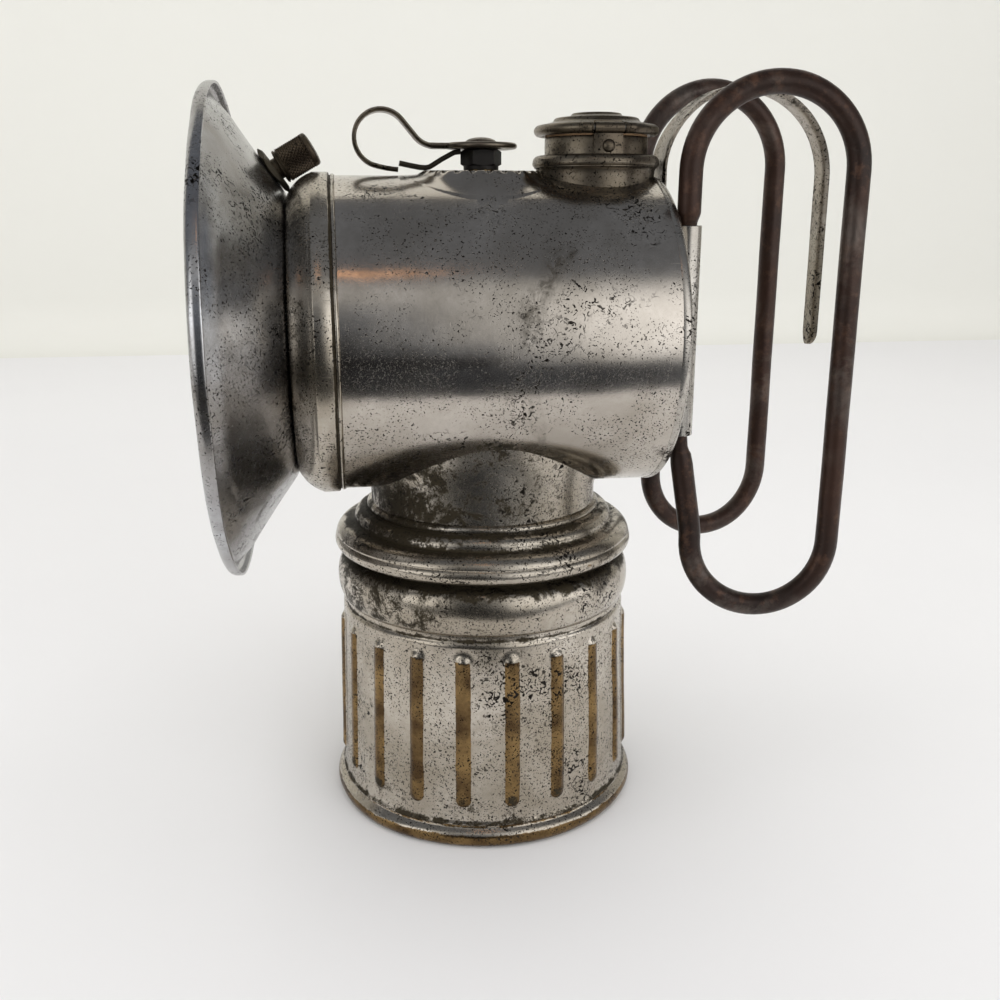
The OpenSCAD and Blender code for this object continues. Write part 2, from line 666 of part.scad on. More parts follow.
// One closed wire loop in a splayed upright plane, its necked ends held in the bracket.
// A ball a little thicker than the wire fills each of the two places where the wire changes direction.
module wire_loop(side, reach, top_z, low_z) {
    top_r = reach / 2;
    arch_z = top_z - wire_r - top_r;
    bend_z = low_z + wire_r + low_bend_r;
    lean_z = bend_z + 2;
    seat_z = bracket_z[0] - 1;
    inner = reach - 2 * low_bend_r;
    run = norm([inner, seat_z - lean_z]);
    translate([upright_x, side * bracket_half, 0]) rotate([0, 0, side * splay]) rotate([90, 0, 0])
    union() {
        translate([0, bracket_z[1], 0]) rotate([-90, 0, 0]) rotate_extrude()
            polygon([[0, -neck_end], [neck_wire_r, -neck_end], [neck_wire_r, 0], [wire_r, 2],
                     [wire_r, arch_z - bracket_z[1]], [0, arch_z - bracket_z[1]]]);
        translate([top_r, arch_z, 0]) rotate_extrude(angle = 180)
            translate([top_r, 0]) circle(r = wire_r, $fn = 40);
        translate([reach, bend_z, 0]) rotate([-90, 0, 0]) cylinder(h = arch_z - bend_z, r = wire_r);
        translate([reach - low_bend_r, bend_z, 0]) rotate([0, 0, 180]) rotate_extrude(angle = 180)
            translate([low_bend_r, 0]) circle(r = wire_r, $fn = 40);
        union() {
            union() {
                translate([inner, bend_z, 0]) rotate([-90, 0, 0])
                    cylinder(h = lean_z - bend_z, r = wire_r);
                translate([inner, lean_z, 0]) sphere(r = wire_r + 0.05);
            }
            union() {
                translate([0, seat_z, 0]) rotate([-90, 0, 0]) cylinder(h = neck_end, r = neck_wire_r);
                translate([0, seat_z, 0]) sphere(r = neck_wire_r + 0.05);
            }
            translate([inner, lean_z, 0]) rotate([0, 0, atan(inner / (seat_z - lean_z))])
                rotate([-90, 0, 0]) rotate_extrude()
                    polygon([[0, 0], [wire_r, 0], [wire_r, run - 2.8], [neck_wire_r, run - 0.8],
                             [neck_wire_r, run], [0, run]]);
        }
    }
}

module left_loop_wire() color(rust) wire_loop(-1, left_reach, left_top_z, left_low_z);
module right_loop_wire() color(rust) wire_loop(1, right_reach, right_top_z, right_low_z);

// Bent strip over the middle of the handle, to hang the lamp by
module hook() color(nickel) intersection() {
    arc_r = hook_reach / 2;
    root_x = tank_rear_x + bracket_sheet + hook_sheet / 2;
    centre = [root_x + arc_r, hook_top_z - hook_sheet / 2 - arc_r];
    across(hook_width) polygon(strip(concat([[root_x, hook_root_z]], arc(centre, arc_r, 180, 0, 24),
        [[root_x + hook_reach, hook_tip_z + 1.5], [root_x + hook_reach, hook_tip_z]]), hook_sheet));
    linear_extrude(200) polygon([[root_x - 1, -hook_width / 2], [root_x + 1, -hook_width / 2],
        [root_x + hook_reach - 1, -hook_tip_width / 2], [root_x + hook_reach + 1, -hook_tip_width / 2],
        [root_x + hook_reach + 1, hook_tip_width / 2], [root_x + hook_reach - 1, hook_tip_width / 2],
        [root_x + 1, hook_width / 2], [root_x - 1, hook_width / 2]]);
}

carbide_cup();
base_gasket();
neck_skirt();
gas_floor();
filter_felt();
filter_retainer();
tank_shell();
front_head();
rear_head();
front_ring();
valve_seat();
drip_tube();
gland_bush();
gland_packing();
packing_nut();
gas_tube();
burner_holder();
burner_nut();
burner_tip();
reflector();
filler_neck();
filler_collar();
hinge_strap();
hinge_rivet();
hinge_wire();
filler_lid();
lid_gasket();
valve_stem();
valve_lever();
click_spring();
lever_screw();
flint_tube();
striker_nut();
striker_frame();
striker_axle();
striker_wheel();
flint();
flint_spring();
spring_follower();
flint_cap();
handle_bracket();
left_loop_wire();
right_loop_wire();
hook();
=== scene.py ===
import json
import math

import bmesh
import bpy
from mathutils import Matrix, Vector, noise


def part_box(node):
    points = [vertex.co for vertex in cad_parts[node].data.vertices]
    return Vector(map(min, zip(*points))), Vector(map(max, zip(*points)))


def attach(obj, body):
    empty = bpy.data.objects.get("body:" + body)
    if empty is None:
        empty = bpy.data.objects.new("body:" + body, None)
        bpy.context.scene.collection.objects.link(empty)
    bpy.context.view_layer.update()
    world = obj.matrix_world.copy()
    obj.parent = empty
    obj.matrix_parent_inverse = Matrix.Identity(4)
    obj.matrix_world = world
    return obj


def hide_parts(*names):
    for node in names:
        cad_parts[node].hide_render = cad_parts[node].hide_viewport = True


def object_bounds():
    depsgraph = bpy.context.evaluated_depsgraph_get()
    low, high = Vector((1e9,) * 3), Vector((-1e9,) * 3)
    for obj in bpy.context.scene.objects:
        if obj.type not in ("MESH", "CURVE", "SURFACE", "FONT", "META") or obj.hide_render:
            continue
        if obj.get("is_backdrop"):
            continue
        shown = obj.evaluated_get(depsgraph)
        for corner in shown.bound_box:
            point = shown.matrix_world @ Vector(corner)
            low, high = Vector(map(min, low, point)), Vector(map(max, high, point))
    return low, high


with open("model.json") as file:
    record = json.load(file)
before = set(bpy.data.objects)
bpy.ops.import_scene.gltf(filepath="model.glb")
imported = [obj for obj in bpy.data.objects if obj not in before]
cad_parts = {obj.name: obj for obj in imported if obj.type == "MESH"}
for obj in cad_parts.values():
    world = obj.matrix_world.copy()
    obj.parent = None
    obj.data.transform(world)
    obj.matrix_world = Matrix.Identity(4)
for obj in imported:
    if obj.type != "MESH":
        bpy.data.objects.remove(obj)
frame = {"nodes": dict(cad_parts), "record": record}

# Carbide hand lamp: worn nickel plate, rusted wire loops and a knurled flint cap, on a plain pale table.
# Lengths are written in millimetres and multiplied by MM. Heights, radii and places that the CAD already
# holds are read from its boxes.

MM = 0.001
DENT_SEED = 7
noise.seed_set(DENT_SEED)
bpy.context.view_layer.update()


def extent(node):
    """Lowest and highest corner of a CAD node, in millimetres."""
    low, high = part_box(node)
    return low / MM, high / MM


# ---- Sizes taken from the CAD ----

tank_low, tank_high = extent("tank_shell")
TANK_R = tank_high.y
TANK_Z = tank_low.z + TANK_R
TANK_FRONT, TANK_REAR = tank_low.x, tank_high.x
BOSS_Z = tank_high.z
RING_FRONT = -extent("front_ring")[0].x
REAR_X = extent("rear_head")[1].x
BOWL_R = extent("reflector")[1].y
BOWL_FRONT = -extent("reflector")[0].x
FOOT_R = extent("carbide_cup")[1].y
COLLAR_TOP = extent("carbide_cup")[1].z
neck_low, neck_high = extent("filler_neck")
FILLER_X = (neck_low.x + neck_high.x) / 2
FILLER_R, FILLER_TOP = neck_high.y, neck_high.z
FLANGE_R, FLANGE_TOP = extent("filler_collar")[1].y, extent("filler_collar")[1].z
LID_R = extent("filler_lid")[1].y
bracket_low, bracket_high = extent("handle_bracket")
NUT_LOW, NUT_TOP = extent("packing_nut")[0].z, extent("packing_nut")[1].z
PLATE_LOW, PLATE_TOP = NUT_TOP + 0.1, NUT_TOP + 1.3
DISH_BACK, DISH, DISH_SWELL = 33.6, 0.00835, 1.2

UP = Matrix.Identity(4)
BEAM = Matrix.Translation((0, 0, TANK_Z)) @ Matrix.Rotation(math.radians(-90), 4, "Y")
STRIKER_AT = Matrix.Translation((-43.53, 0, 139.9))
STRIKER_TILT, DISH_TILT = 60.2, 54.2
STRIKER = STRIKER_AT @ Matrix.Rotation(math.radians(STRIKER_TILT), 4, "Y")
SQUARE_TO_DISH = STRIKER_AT @ Matrix.Rotation(math.radians(DISH_TILT), 4, "Y")
FILLER = Matrix.Translation((FILLER_X, 0, 0))


# ---- Mesh helpers ----

def clamp(x, low=0.0, high=1.0):
    return max(low, min(high, x))


def smooth(x):
    x = clamp(x)
    return x * x * (3 - 2 * x)


def on_circle(centre, radius, angle, squash=1.0):
    """Point at an angle in degrees. squash scales the second coordinate for an ellipse."""
    a = math.radians(angle)
    return centre[0] + radius * math.cos(a), centre[1] + radius * squash * math.sin(a)


def arc(centre, radius, start, end, steps=12, squash=1.0):
    return [on_circle(centre, radius, start + (end - start) * i / steps, squash) for i in range(steps + 1)]


def quads(rows, columns, wrap_rows=False, wrap_columns=True):
    """Faces of a grid of points that are listed row by row."""
    faces = []
    for i in range(rows if wrap_rows else rows - 1):
        k = (i + 1) % rows
        for j in range(columns if wrap_columns else columns - 1):
            m = (j + 1) % columns
            faces.append((i * columns + j, i * columns + m, k * columns + m, k * columns + j))
    return faces


def ends(count, columns):
    """First and last row of a grid of that many points, each as one face."""
    return [tuple(range(columns))[::-1], tuple(range(count - columns, count))]


def sheet(path, thick):
    """Closed outline of a sheet of one thickness along a line of points, with rounded edges."""
    count = len(path)
    left, right = [], []
    for i, (x, y) in enumerate(path):
        ax, ay = path[max(i - 1, 0)]
        bx, by = path[min(i + 1, count - 1)]
        size = math.hypot(bx - ax, by - ay)
        nx, ny = -(by - ay) / size * thick / 2, (bx - ax) / size * thick / 2
        left.append((x + nx, y + ny))
        right.append((x - nx, y - ny))

    def cap(a, b, tip, back):
        dx, dy = tip[0] - back[0], tip[1] - back[1]
        size = math.hypot(dx, dy)
        out = []
        for t in (45, 90, 135):
            c, s = math.cos(math.radians(t)), math.sin(math.radians(t))
            out.append((tip[0] + (a[0] - tip[0]) * c + dx / size * thick / 2 * s,
                        tip[1] + (a[1] - tip[1]) * c + dy / size * thick / 2 * s))
        return out

    far = cap(left[-1], right[-1], path[-1], path[-2])
    near = cap(right[0], left[0], path[0], path[1])
    return left + far + right[::-1] + near


def around(count):
    """Angles of so many even steps round a circle."""
    return [i * 360 / count for i in range(count)]


def revolve(profile, place, angles=None, shape=None, closed=True):
    """Points and faces of a profile of (radius, height) turned about an axis. shape moves single points."""
    angles = angles or around(128)
    points = []
    for a in angles:
        c, s = math.cos(math.radians(a)), math.sin(math.radians(a))
        for r, h in profile:
            if shape:
                r, h = shape(r, h, a)
            points.append(place @ Vector((r * c, r * s, h)))
    return points, quads(len(angles), len(profile), True, closed)


def joined(*parts):
    points, faces = [], []
    for p, f in parts:
        base = len(points)
        points += list(p)
        faces += [tuple(base + v for v in face) for face in f]
    return points, faces


def sweep(path, radius, sides=20):
    """A round bar along 3-D points. radius is a function of the point's number."""
    points = []
    up = Vector((0, 1, 0))
    for i, p in enumerate(path):
        along = (path[min(i + 1, len(path) - 1)] - path[max(i - 1, 0)]).normalized()
        side = along.cross(up).normalized()
        up = side.cross(along).normalized()
        for j in range(sides):
            a = 2 * math.pi * j / sides
            points.append(p + (side * math.cos(a) + up * math.sin(a)) * radius(i))
    return points, quads(len(path), sides) + ends(len(points), sides)


def ribbon(path, section):
    """A strip along (x, z) points. section(i) gives its outline there as (across, out) pairs."""
    points = []
    for i, (x, z) in enumerate(path):
        ax, az = path[max(i - 1, 0)]
        bx, bz = path[min(i + 1, len(path) - 1)]
        along = Vector((bx - ax, 0, bz - az)).normalized()
        out = Vector((-along.z, 0, along.x))
        points += [Vector((x, u, z)) + out * v for u, v in section(i)]
    columns = len(section(0))
    return points, quads(len(path), columns) + ends(len(points), columns)


def strip_outline(width, thick, lip=0.0, steps=10):
    """Cross-section of a strip with rounded edges that curl towards its inner face by lip."""
    top, low = [], []
    for i in range(steps + 1):
        u = -1 + 2 * i / steps
        drop = lip * abs(u) ** 3.5
        edge = math.sqrt(max(0.0, 1 - abs(u) ** 9))
        top.append((u * width / 2, thick / 2 * edge - drop))
        low.append((u * width / 2, -thick / 2 * edge - drop))
    return top + low[::-1][1:-1]


def nut(across_corners, low, high, place, bore=0.0):
    """Hexagon nut with its corners chamfered on both faces."""
    flat = across_corners / 2 * math.cos(math.radians(30))
    points = []
    turns = 72
    rings = [("low", 0.0), ("low", 0.86), ("low", 1.0), ("high", 1.0), ("high", 0.86), ("high", 0.0)]
    for i in range(turns):
        a = 360 / turns * i
        edge = flat / math.cos(math.radians((a % 60) - 30))
        for face, f in rings:
            r = bore if f == 0 else (flat * 0.97 if f < 1 else edge)
            drop = 0.0 if f < 1 else max(0.0, edge - flat * 0.97) * 0.5 + 0.06
            z = low + drop if face == "low" else high - drop
            c, s = math.cos(math.radians(a)), math.sin(math.radians(a))
            points.append(place @ Vector((r * c, r * s, z)))
    return points, quads(turns, len(rings), True, bool(bore))


def dented(point, size=0.12, reach=22.0):
    """Moves a point a little, so that thin sheet shows the soft dents of long use."""
    p = Vector(point) / reach
    q = Vector(point) / (reach * 0.37)
    return Vector(point) + size * noise.noise_vector(p) + size * 0.3 * noise.noise_vector(q)


def build(name, shape, body, material, replaces=(), sharp=40, dents=0.0, marks=None):
    """One piece from points and faces. marks gives each point's bare brass and its dirt with painted shade,
    from 0 to 1.
    """
    points, faces = shape
    mesh = bpy.data.meshes.new(name)
    placed = [dented(p, dents) if dents else Vector(p) for p in points]
    for p in placed:
        p.z = max(p.z, 0.0)
    mesh.from_pydata([p * MM for p in placed], [], faces)
    if marks:
        # The second layer is dirt mixed with painted shade in creases, corners and undersides.
        for layer, values in zip(("brass", "grime_and_shade"), marks):
            attribute = mesh.attributes.new(layer, "FLOAT", "POINT")
            attribute.data.foreach_set("value", values)
    work = bmesh.new()
    work.from_mesh(mesh)
    bmesh.ops.remove_doubles(work, verts=work.verts, dist=2e-6)
    bmesh.ops.recalc_face_normals(work, faces=work.faces)
    work.to_mesh(mesh)
    work.free()
    mesh.polygons.foreach_set("use_smooth", [True] * len(mesh.polygons))
    mesh.set_sharp_from_angle(angle=math.radians(sharp))
    mesh.materials.append(material)
    piece = bpy.data.objects.new(name, mesh)
    bpy.context.scene.collection.objects.link(piece)
    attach(piece, body)
    if replaces:
        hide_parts(*replaces)
    return piece


def bevel(piece, width, segments=2, angle=35):
    edge = piece.modifiers.new("edge", "BEVEL")
    edge.width = width * MM
    edge.segments = segments
    edge.limit_method = "ANGLE"
    edge.angle_limit = math.radians(angle)
    edge.harden_normals = False


# ---- Materials ----

class Finish:
    """A node material, with short calls for the nodes that the finishes share."""

    def __init__(self, name):
        self.material = bpy.data.materials.new(name)
        self.material.use_nodes = True
        self.tree = self.material.node_tree
        self.tree.nodes.clear()
        self.output = self.node("ShaderNodeOutputMaterial")
        self.shader = self.node("ShaderNodeBsdfPrincipled")
        self.tree.links.new(self.shader.outputs[0], self.output.inputs["Surface"])
        self.place = self.node("ShaderNodeTexCoord").outputs["Object"]

    def node(self, kind, **settings):
        made = self.tree.nodes.new(kind)
        for key, value in settings.items():
            setattr(made, key, value)
        return made

    def put(self, socket, value):
        if isinstance(value, bpy.types.NodeSocket):
            self.tree.links.new(value, socket)
        else:
            socket.default_value = value

    def moved(self, scale=(1, 1, 1), turn=(0, 0, 0), shift=(0, 0, 0)):
        made = self.node("ShaderNodeMapping")
        self.put(made.inputs["Vector"], self.place)
        made.inputs["Scale"].default_value = scale
        made.inputs["Rotation"].default_value = [math.radians(t) for t in turn]
        made.inputs["Location"].default_value = shift
        return made.outputs[0]

    def noise(self, scale, detail=4.0, rough=0.55, twist=0.0, place=None):
        """Noise whose features are about 1 / scale metres across."""
        made = self.node("ShaderNodeTexNoise")
        self.put(made.inputs["Vector"], place or self.place)
        made.inputs["Scale"].default_value = scale
        made.inputs["Detail"].default_value = detail
        made.inputs["Roughness"].default_value = rough
        made.inputs["Distortion"].default_value = twist
        return made.outputs["Fac"]

    def ranged(self, value, limits):
        made = self.node("ShaderNodeMapRange", clamp=True)
        self.put(made.inputs["Value"], value)
        for name, limit in limits.items():
            self.put(made.inputs[name], limit)
        return made.outputs["Result"]

    def ramp(self, value, low, high):
        """0 below low and 1 above high, with a straight slope between."""
        return self.ranged(value, {"From Min": low, "From Max": high})

    def math(self, kind, a, b):
        made = self.node("ShaderNodeMath", operation=kind)
        self.put(made.inputs[0], a)
        self.put(made.inputs[1], b)
        return made.outputs[0]

    def times(self, a, b):
        return self.math("MULTIPLY", a, b)

    def plus(self, a, b):
        return self.math("ADD", a, b)

    def less(self, a, b):
        return self.math("SUBTRACT", a, b)

    def most(self, a, b):
        return self.math("MAXIMUM", a, b)

    def mix(self, amount, a, b):
        made = self.node("ShaderNodeMix", data_type="RGBA")
        self.put(made.inputs["Factor"], amount)
        for socket, value in ((made.inputs[6], a), (made.inputs[7], b)):
            self.put(socket, value if isinstance(value, bpy.types.NodeSocket) else (*value, 1))
        return made.outputs[2]

    def between(self, amount, a, b):
        """A number that goes from a to b as amount goes from 0 to 1."""
        return self.ranged(amount, {"To Min": a, "To Max": b})

    def mark(self, layer):
        return self.node("ShaderNodeAttribute", attribute_name=layer).outputs["Fac"]

    def bump(self, height, depth, after=None):
        """Relief of that depth in millimetres."""
        made = self.node("ShaderNodeBump")
        made.inputs["Distance"].default_value = depth * MM
        self.put(made.inputs["Height"], height)
        if after:
            self.put(made.inputs["Normal"], after)
        return made.outputs["Normal"]

    def finish(self, colour, metal, roughness, normal):
        values = {"Base Color": colour, "Metallic": metal, "Roughness": roughness, "Normal": normal}
        for socket, value in values.items():
            self.put(self.shader.inputs[socket], value)
        return self.material


def stain_and_shade_mask(f, stains, marked):
    """Dark stains in broken drifts, and on a marked piece the darkening that its per-point attribute holds in
    creases, corners and undersides: painted shade mixed with dirt.
    """
    drift = f.noise(30, 6, 0.62, 0.8, f.moved(shift=(0.31, 0.07, 0.19)))
    stain_and_shade = f.ramp(drift, 0.66 - 0.16 * stains, 0.80 - 0.10 * stains)
    stain_and_shade = f.times(stain_and_shade, f.ramp(f.noise(300, 7, 0.75, 0.8), 0.40, 0.60))
    if not marked:
        return stain_and_shade
    # Per-point darkening in creases, corners and undersides: painted shade mixed with dirt, broken up by
    # crust noise.
    crust = f.times(f.less(f.noise(140, 12, 0.86, 0.4), 0.5), 2.1)
    return f.most(stain_and_shade, f.ramp(f.plus(f.mark("grime_and_shade"), crust), 0.48, 0.64))


def pit_mask(f, pits, specks):
    """Small black pits: bent ones in drifts, and round specks scattered more widely."""
    clump = f.noise(62, 4, 0.6, 0.3, f.moved(shift=(0.11, 0.23, 0.05)))
    where = f.ramp(clump, 0.60 - 0.20 * pits, 0.74 - 0.1 * pits)
    worms = f.ramp(f.noise(820, 3, 0.5, 1.6), 0.565, 0.60)
    speck = f.noise(2500, 2, 0.5, 0.6, f.moved(shift=(0.4, 0.2, 0.7)))
    dots = f.ramp(speck, 0.645 - 0.06 * specks, 0.675 - 0.06 * specks)
    loose = f.times(dots, f.ramp(f.noise(90, 4, 0.6), 0.50 - 0.16 * specks, 0.62 - 0.10 * specks))
    return f.most(f.times(where, worms), loose)


def scratch_mask(f):
    """Fine scratches in two directions."""
    long_way = f.noise(60, 3, 0.6, 0.1, f.moved(scale=(1, 22, 22), turn=(0, 12, 20)))
    cross_way = f.noise(60, 3, 0.6, 0.1, f.moved(scale=(18, 18, 1), turn=(0, 28, -15)))
    return f.most(f.ramp(long_way, 0.68, 0.74), f.ramp(cross_way, 0.69, 0.75))


def worn_metal(name, clean, dull, stain_and_shade_colour, stains=0.5, pits=0.5, specks=0.3, rough=(0.2, 0.42), metal=1.0,
               marked=False):
    """Plated or bare metal with soft tarnish, brown film, dark stains, scratches and small black pits; on
    marked pieces the dark colour for stains also paints shade and dirt into creases, corners and undersides.
    """
    f = Finish(name)
    colour = f.mix(f.ramp(f.noise(38, 5, 0.6, 0.4), 0.36, 0.66), clean, dull)
    mottle = f.ramp(f.noise(520, 6, 0.75, 0.4), 0.36, 0.64)
    colour = f.mix(f.times(mottle, 0.5), colour, dull)
    film = f.ramp(f.noise(24, 5, 0.6, 0.6, f.moved(shift=(0.02, 0.41, 0.33))), 0.46, 0.68)
    film = f.times(film, 0.25 + 0.45 * stains)
    colour = f.mix(film, colour, (0.17, 0.14, 0.085))
    if marked:
        rubbed = f.times(f.less(f.noise(190, 8, 0.74, 0.4), 0.5), 1.5)
        bare = f.ramp(f.plus(f.mark("brass"), rubbed), 0.36, 0.50)
        worn = f.mix(f.ramp(f.noise(120, 5, 0.65), 0.35, 0.62), (0.27, 0.175, 0.075), (0.085, 0.052, 0.025))
        colour = f.mix(bare, colour, worn)
    stain_and_shade, pitted, scratches = stain_and_shade_mask(f, stains, marked), pit_mask(f, pits, specks), scratch_mask(f)
    # Stains and, on marked pieces, painted shade take the dark colour for stains.
    colour = f.mix(f.ramp(stain_and_shade, 0.0, 0.7), colour, stain_and_shade_colour)
    colour = f.mix(f.ramp(pitted, 0.0, 0.4), colour, (0.012, 0.010, 0.008))

    roughness = f.between(f.noise(70, 6, 0.65), rough[0], rough[1])
    for mask, amount in ((stain_and_shade, 0.30), (pitted, 0.4), (film, 0.10), (scratches, 0.06)):
        roughness = f.plus(roughness, f.times(mask, amount))

    relief = f.less(f.less(0.5, f.times(pitted, 0.16)), f.times(scratches, 0.05))
    relief = f.plus(relief, f.times(f.noise(2400, 3, 0.6), 0.05))
    normal = f.bump(relief, 0.12, f.bump(f.noise(120, 3), 0.05))
    shine = f.times(metal, f.less(1.0, f.ramp(pitted, 0.6, 1.0)))
    shine = f.times(shine, f.between(f.ramp(stain_and_shade, 0.5, 1.0), 1.0, 0.5))
    f.put(f.shader.inputs["Specular IOR Level"], f.between(f.most(pitted, stain_and_shade), 0.5, 0.15))
    return f.finish(colour, shine, roughness, normal)


def rusted_wire():
    f = Finish("rusted_wire")
    patches = f.ramp(f.noise(45, 6, 0.65, 0.5), 0.35, 0.65)
    colour = f.mix(patches, (0.016, 0.010, 0.008), (0.042, 0.021, 0.014))
    colour = f.mix(f.ramp(f.noise(300, 6, 0.7), 0.52, 0.66), colour, (0.066, 0.034, 0.022))
    rubbed = f.times(f.ramp(f.noise(95, 6, 0.68, 0.4), 0.48, 0.66), f.ramp(f.noise(34, 3), 0.42, 0.58))
    colour = f.mix(f.times(rubbed, 0.35), colour, (0.30, 0.26, 0.23))
    normal = f.bump(f.noise(900, 5, 0.7), 0.10, f.bump(f.noise(160, 4), 0.14))
    return f.finish(colour, f.between(rubbed, 0.55, 0.95), f.between(f.noise(240, 5), 0.28, 0.50), normal)


def grained(name, light, dark, scale, roughness, depth, metal=0.0, twist=0.3):
    """Plain worn solid such as rubber, cork, felt or fired clay, with grain of one size."""
    f = Finish(name)
    colour = f.mix(f.ramp(f.noise(scale, 6, 0.65, twist), 0.32, 0.68), light, dark)
    colour = f.mix(f.times(f.ramp(f.noise(scale * 0.12, 4), 0.45, 0.7), 0.5), colour, dark)
    rough = f.between(f.noise(scale * 0.6, 4), roughness[0], roughness[1])
    return f.finish(colour, metal, rough, f.bump(f.noise(scale, 6, 0.7, twist), depth))


NICKEL = worn_metal("nickel_plate", (0.66, 0.61, 0.54), (0.38, 0.335, 0.27), (0.040, 0.032, 0.020),
                    stains=0.45, pits=0.38, specks=0.75, rough=(0.15, 0.30), marked=True)
TANK_NICKEL = worn_metal("tank_nickel", (0.67, 0.62, 0.56), (0.44, 0.40, 0.35), (0.050, 0.042, 0.028),
                         stains=0.22, pits=0.36, specks=0.45, rough=(0.11, 0.23), marked=True)
PLAIN_NICKEL = worn_metal("plain_nickel", (0.62, 0.59, 0.54), (0.40, 0.37, 0.33), (0.050, 0.042, 0.028),
                          stains=0.35, pits=0.45, specks=0.4, rough=(0.18, 0.34))
DARK_NICKEL = worn_metal("nickel_dark", (0.33, 0.29, 0.23), (0.13, 0.105, 0.078), (0.030, 0.024, 0.015),
                         stains=0.75, pits=0.35, specks=0.6, rough=(0.25, 0.46))
# The reflector's clean tone is tinted a little blue: a painted reflection of the pale sky.
BOWL_PLATE_SKY_TINTED = worn_metal("reflector_plate", (0.66, 0.67, 0.69), (0.33, 0.32, 0.32), (0.050, 0.040, 0.030),
                        stains=0.50, pits=0.42, specks=0.45, rough=(0.15, 0.30))
HOOK_NICKEL = worn_metal("hook_nickel", (0.54, 0.50, 0.44), (0.30, 0.26, 0.21), (0.050, 0.038, 0.024),
                         stains=0.65, pits=0.8, specks=0.7, rough=(0.24, 0.45))
BRASS = worn_metal("brass", (0.56, 0.40, 0.19), (0.34, 0.23, 0.11), (0.10, 0.07, 0.035),
                   stains=0.5, pits=0.2, rough=(0.25, 0.45))
BLACK_BRASS = worn_metal("black_brass", (0.020, 0.017, 0.015), (0.010, 0.009, 0.008), (0.006, 0.005, 0.004),
                         stains=0.5, pits=0.2, rough=(0.36, 0.6), metal=0.6)
BROWN_KNURL = worn_metal("brown_knurl", (0.115, 0.088, 0.062), (0.050, 0.036, 0.026), (0.014, 0.010, 0.008),
                         stains=0.5, pits=0.2, rough=(0.28, 0.48), metal=0.9)
STEEL = worn_metal("steel", (0.40, 0.39, 0.38), (0.24, 0.23, 0.22), (0.07, 0.045, 0.03),
                   stains=0.5, pits=0.3, rough=(0.28, 0.48))
WIRE = rusted_wire()
RUBBER = grained("rubber", (0.050, 0.046, 0.043), (0.022, 0.020, 0.019), 700, (0.55, 0.8), 0.05)
CORK = grained("cork", (0.36, 0.23, 0.12), (0.16, 0.09, 0.045), 600, (0.7, 0.9), 0.15, twist=1.0)
FELT = grained("felt", (0.42, 0.37, 0.28), (0.26, 0.22, 0.16), 1800, (0.85, 1.0), 0.2, twist=2.0)
CERAMIC = grained("ceramic", (0.76, 0.71, 0.62), (0.56, 0.49, 0.40), 900, (0.55, 0.75), 0.04)
FLINT = grained("flint", (0.16, 0.16, 0.17), (0.07, 0.07, 0.075), 1200, (0.4, 0.6), 0.06, metal=0.7)

finishes = {
    "nickel_plate": NICKEL, "nickel_dark": DARK_NICKEL, "reflector_plate": BOWL_PLATE_SKY_TINTED, "brass": BRASS,
    "rusted_wire": WIRE, "black_brass": BLACK_BRASS, "brown_knurl": BROWN_KNURL, "steel": STEEL,
    "rubber": RUBBER, "cork": CORK, "felt": FELT, "ceramic": CERAMIC, "flint": FLINT,
}
for part in frame["record"]["subparts"]:
    node = frame["nodes"][part["node"]]
    node.data.materials.clear()
    node.data.materials.append(finishes[part["material_slot"]])


# ---- Carbide base ----

RIBS, RIB_TURN = 20, 3.3
RIB_LOW, RIB_HIGH = 8.7, 44.1
RIB_HALF, RIB_HEIGHT = 2.05, 0.75


def wall_r(z):
    """Radius of the cup's wall, which narrows a little upwards."""
    return 33.6 - 1.2 * (z - 4) / 41.5


def left_side(a):
    """1 on the front-left side of the base, which is painted darker, 0 on the far side."""
    return 0.5 + 0.5 * math.cos(math.radians(a - 215))


def from_nearest(a, count, radius):
    """Distance round a circle to the nearest of so many evenly spaced places."""
    step = 360 / count
    return math.radians((a + step / 2) % step - step / 2) * radius


def rib_height(z, a):
    """Height of the pressed ribs at height z and angle a, with a faint hollow round each."""
    across = from_nearest(a - RIB_TURN, RIBS, 33)
    past = max(0.0, RIB_LOW + RIB_HALF - z, z - RIB_HIGH + RIB_HALF)
    d = math.hypot(across, past) / RIB_HALF
    if d < 1:
        return RIB_HEIGHT * (0.5 + 0.5 * math.cos(math.pi * d ** 1.4))
    return -0.04 * smooth((d - 1) / 0.25) * (1 - smooth((d - 1.25) / 0.5))


def cup_brass(z, rib):
    """Bare brass along the ribs, round the foot and in the groove above it."""
    on_rib = 0.80 * smooth(rib / 0.5) * (1 - smooth((z - 42.0) / 0.8))
    return max(on_rib, 0.95 * (1 - smooth((z - 2.2) / 1.6)), 0.5 * (1 - smooth(abs(z - 4.6) / 0.7)))


def cup_grime_and_shade(z, a, rib, on_wall):
    """Painted shade mixed with dirt in the crease over the wall, under the lip, round the foot, beside the
    ribs and at their lower ends; also darker low on the wall and on the front-left of the upper band.
    """
    crease = 0.7 * (1 - smooth(abs(z - 46.7) / 1.0))
    under_lip = 0.20 + smooth((z - 53.0) / 4.5) * 0.45
    band = 0.55 * left_side(a) ** 3 * smooth((z - 47) / 2)
    at_foot = 0.62 * (1 - smooth(abs(z - 5.4) / 2.0))
    low_wall = 0.38 * (1 - smooth((z - 9) / 9)) if z > 6 else 0
    beside = abs(from_nearest(a - RIB_TURN, RIBS, 33)) - 2.1
    around = 0.38 * math.exp(-(beside / 0.5) ** 2) if on_wall else 0
    rib_foot = 0.55 * rib * (1 - smooth((z - 11.0) / 3.0))
    return clamp(max(crease, under_lip, band, at_foot, low_wall, around, rib_foot, 0.20))


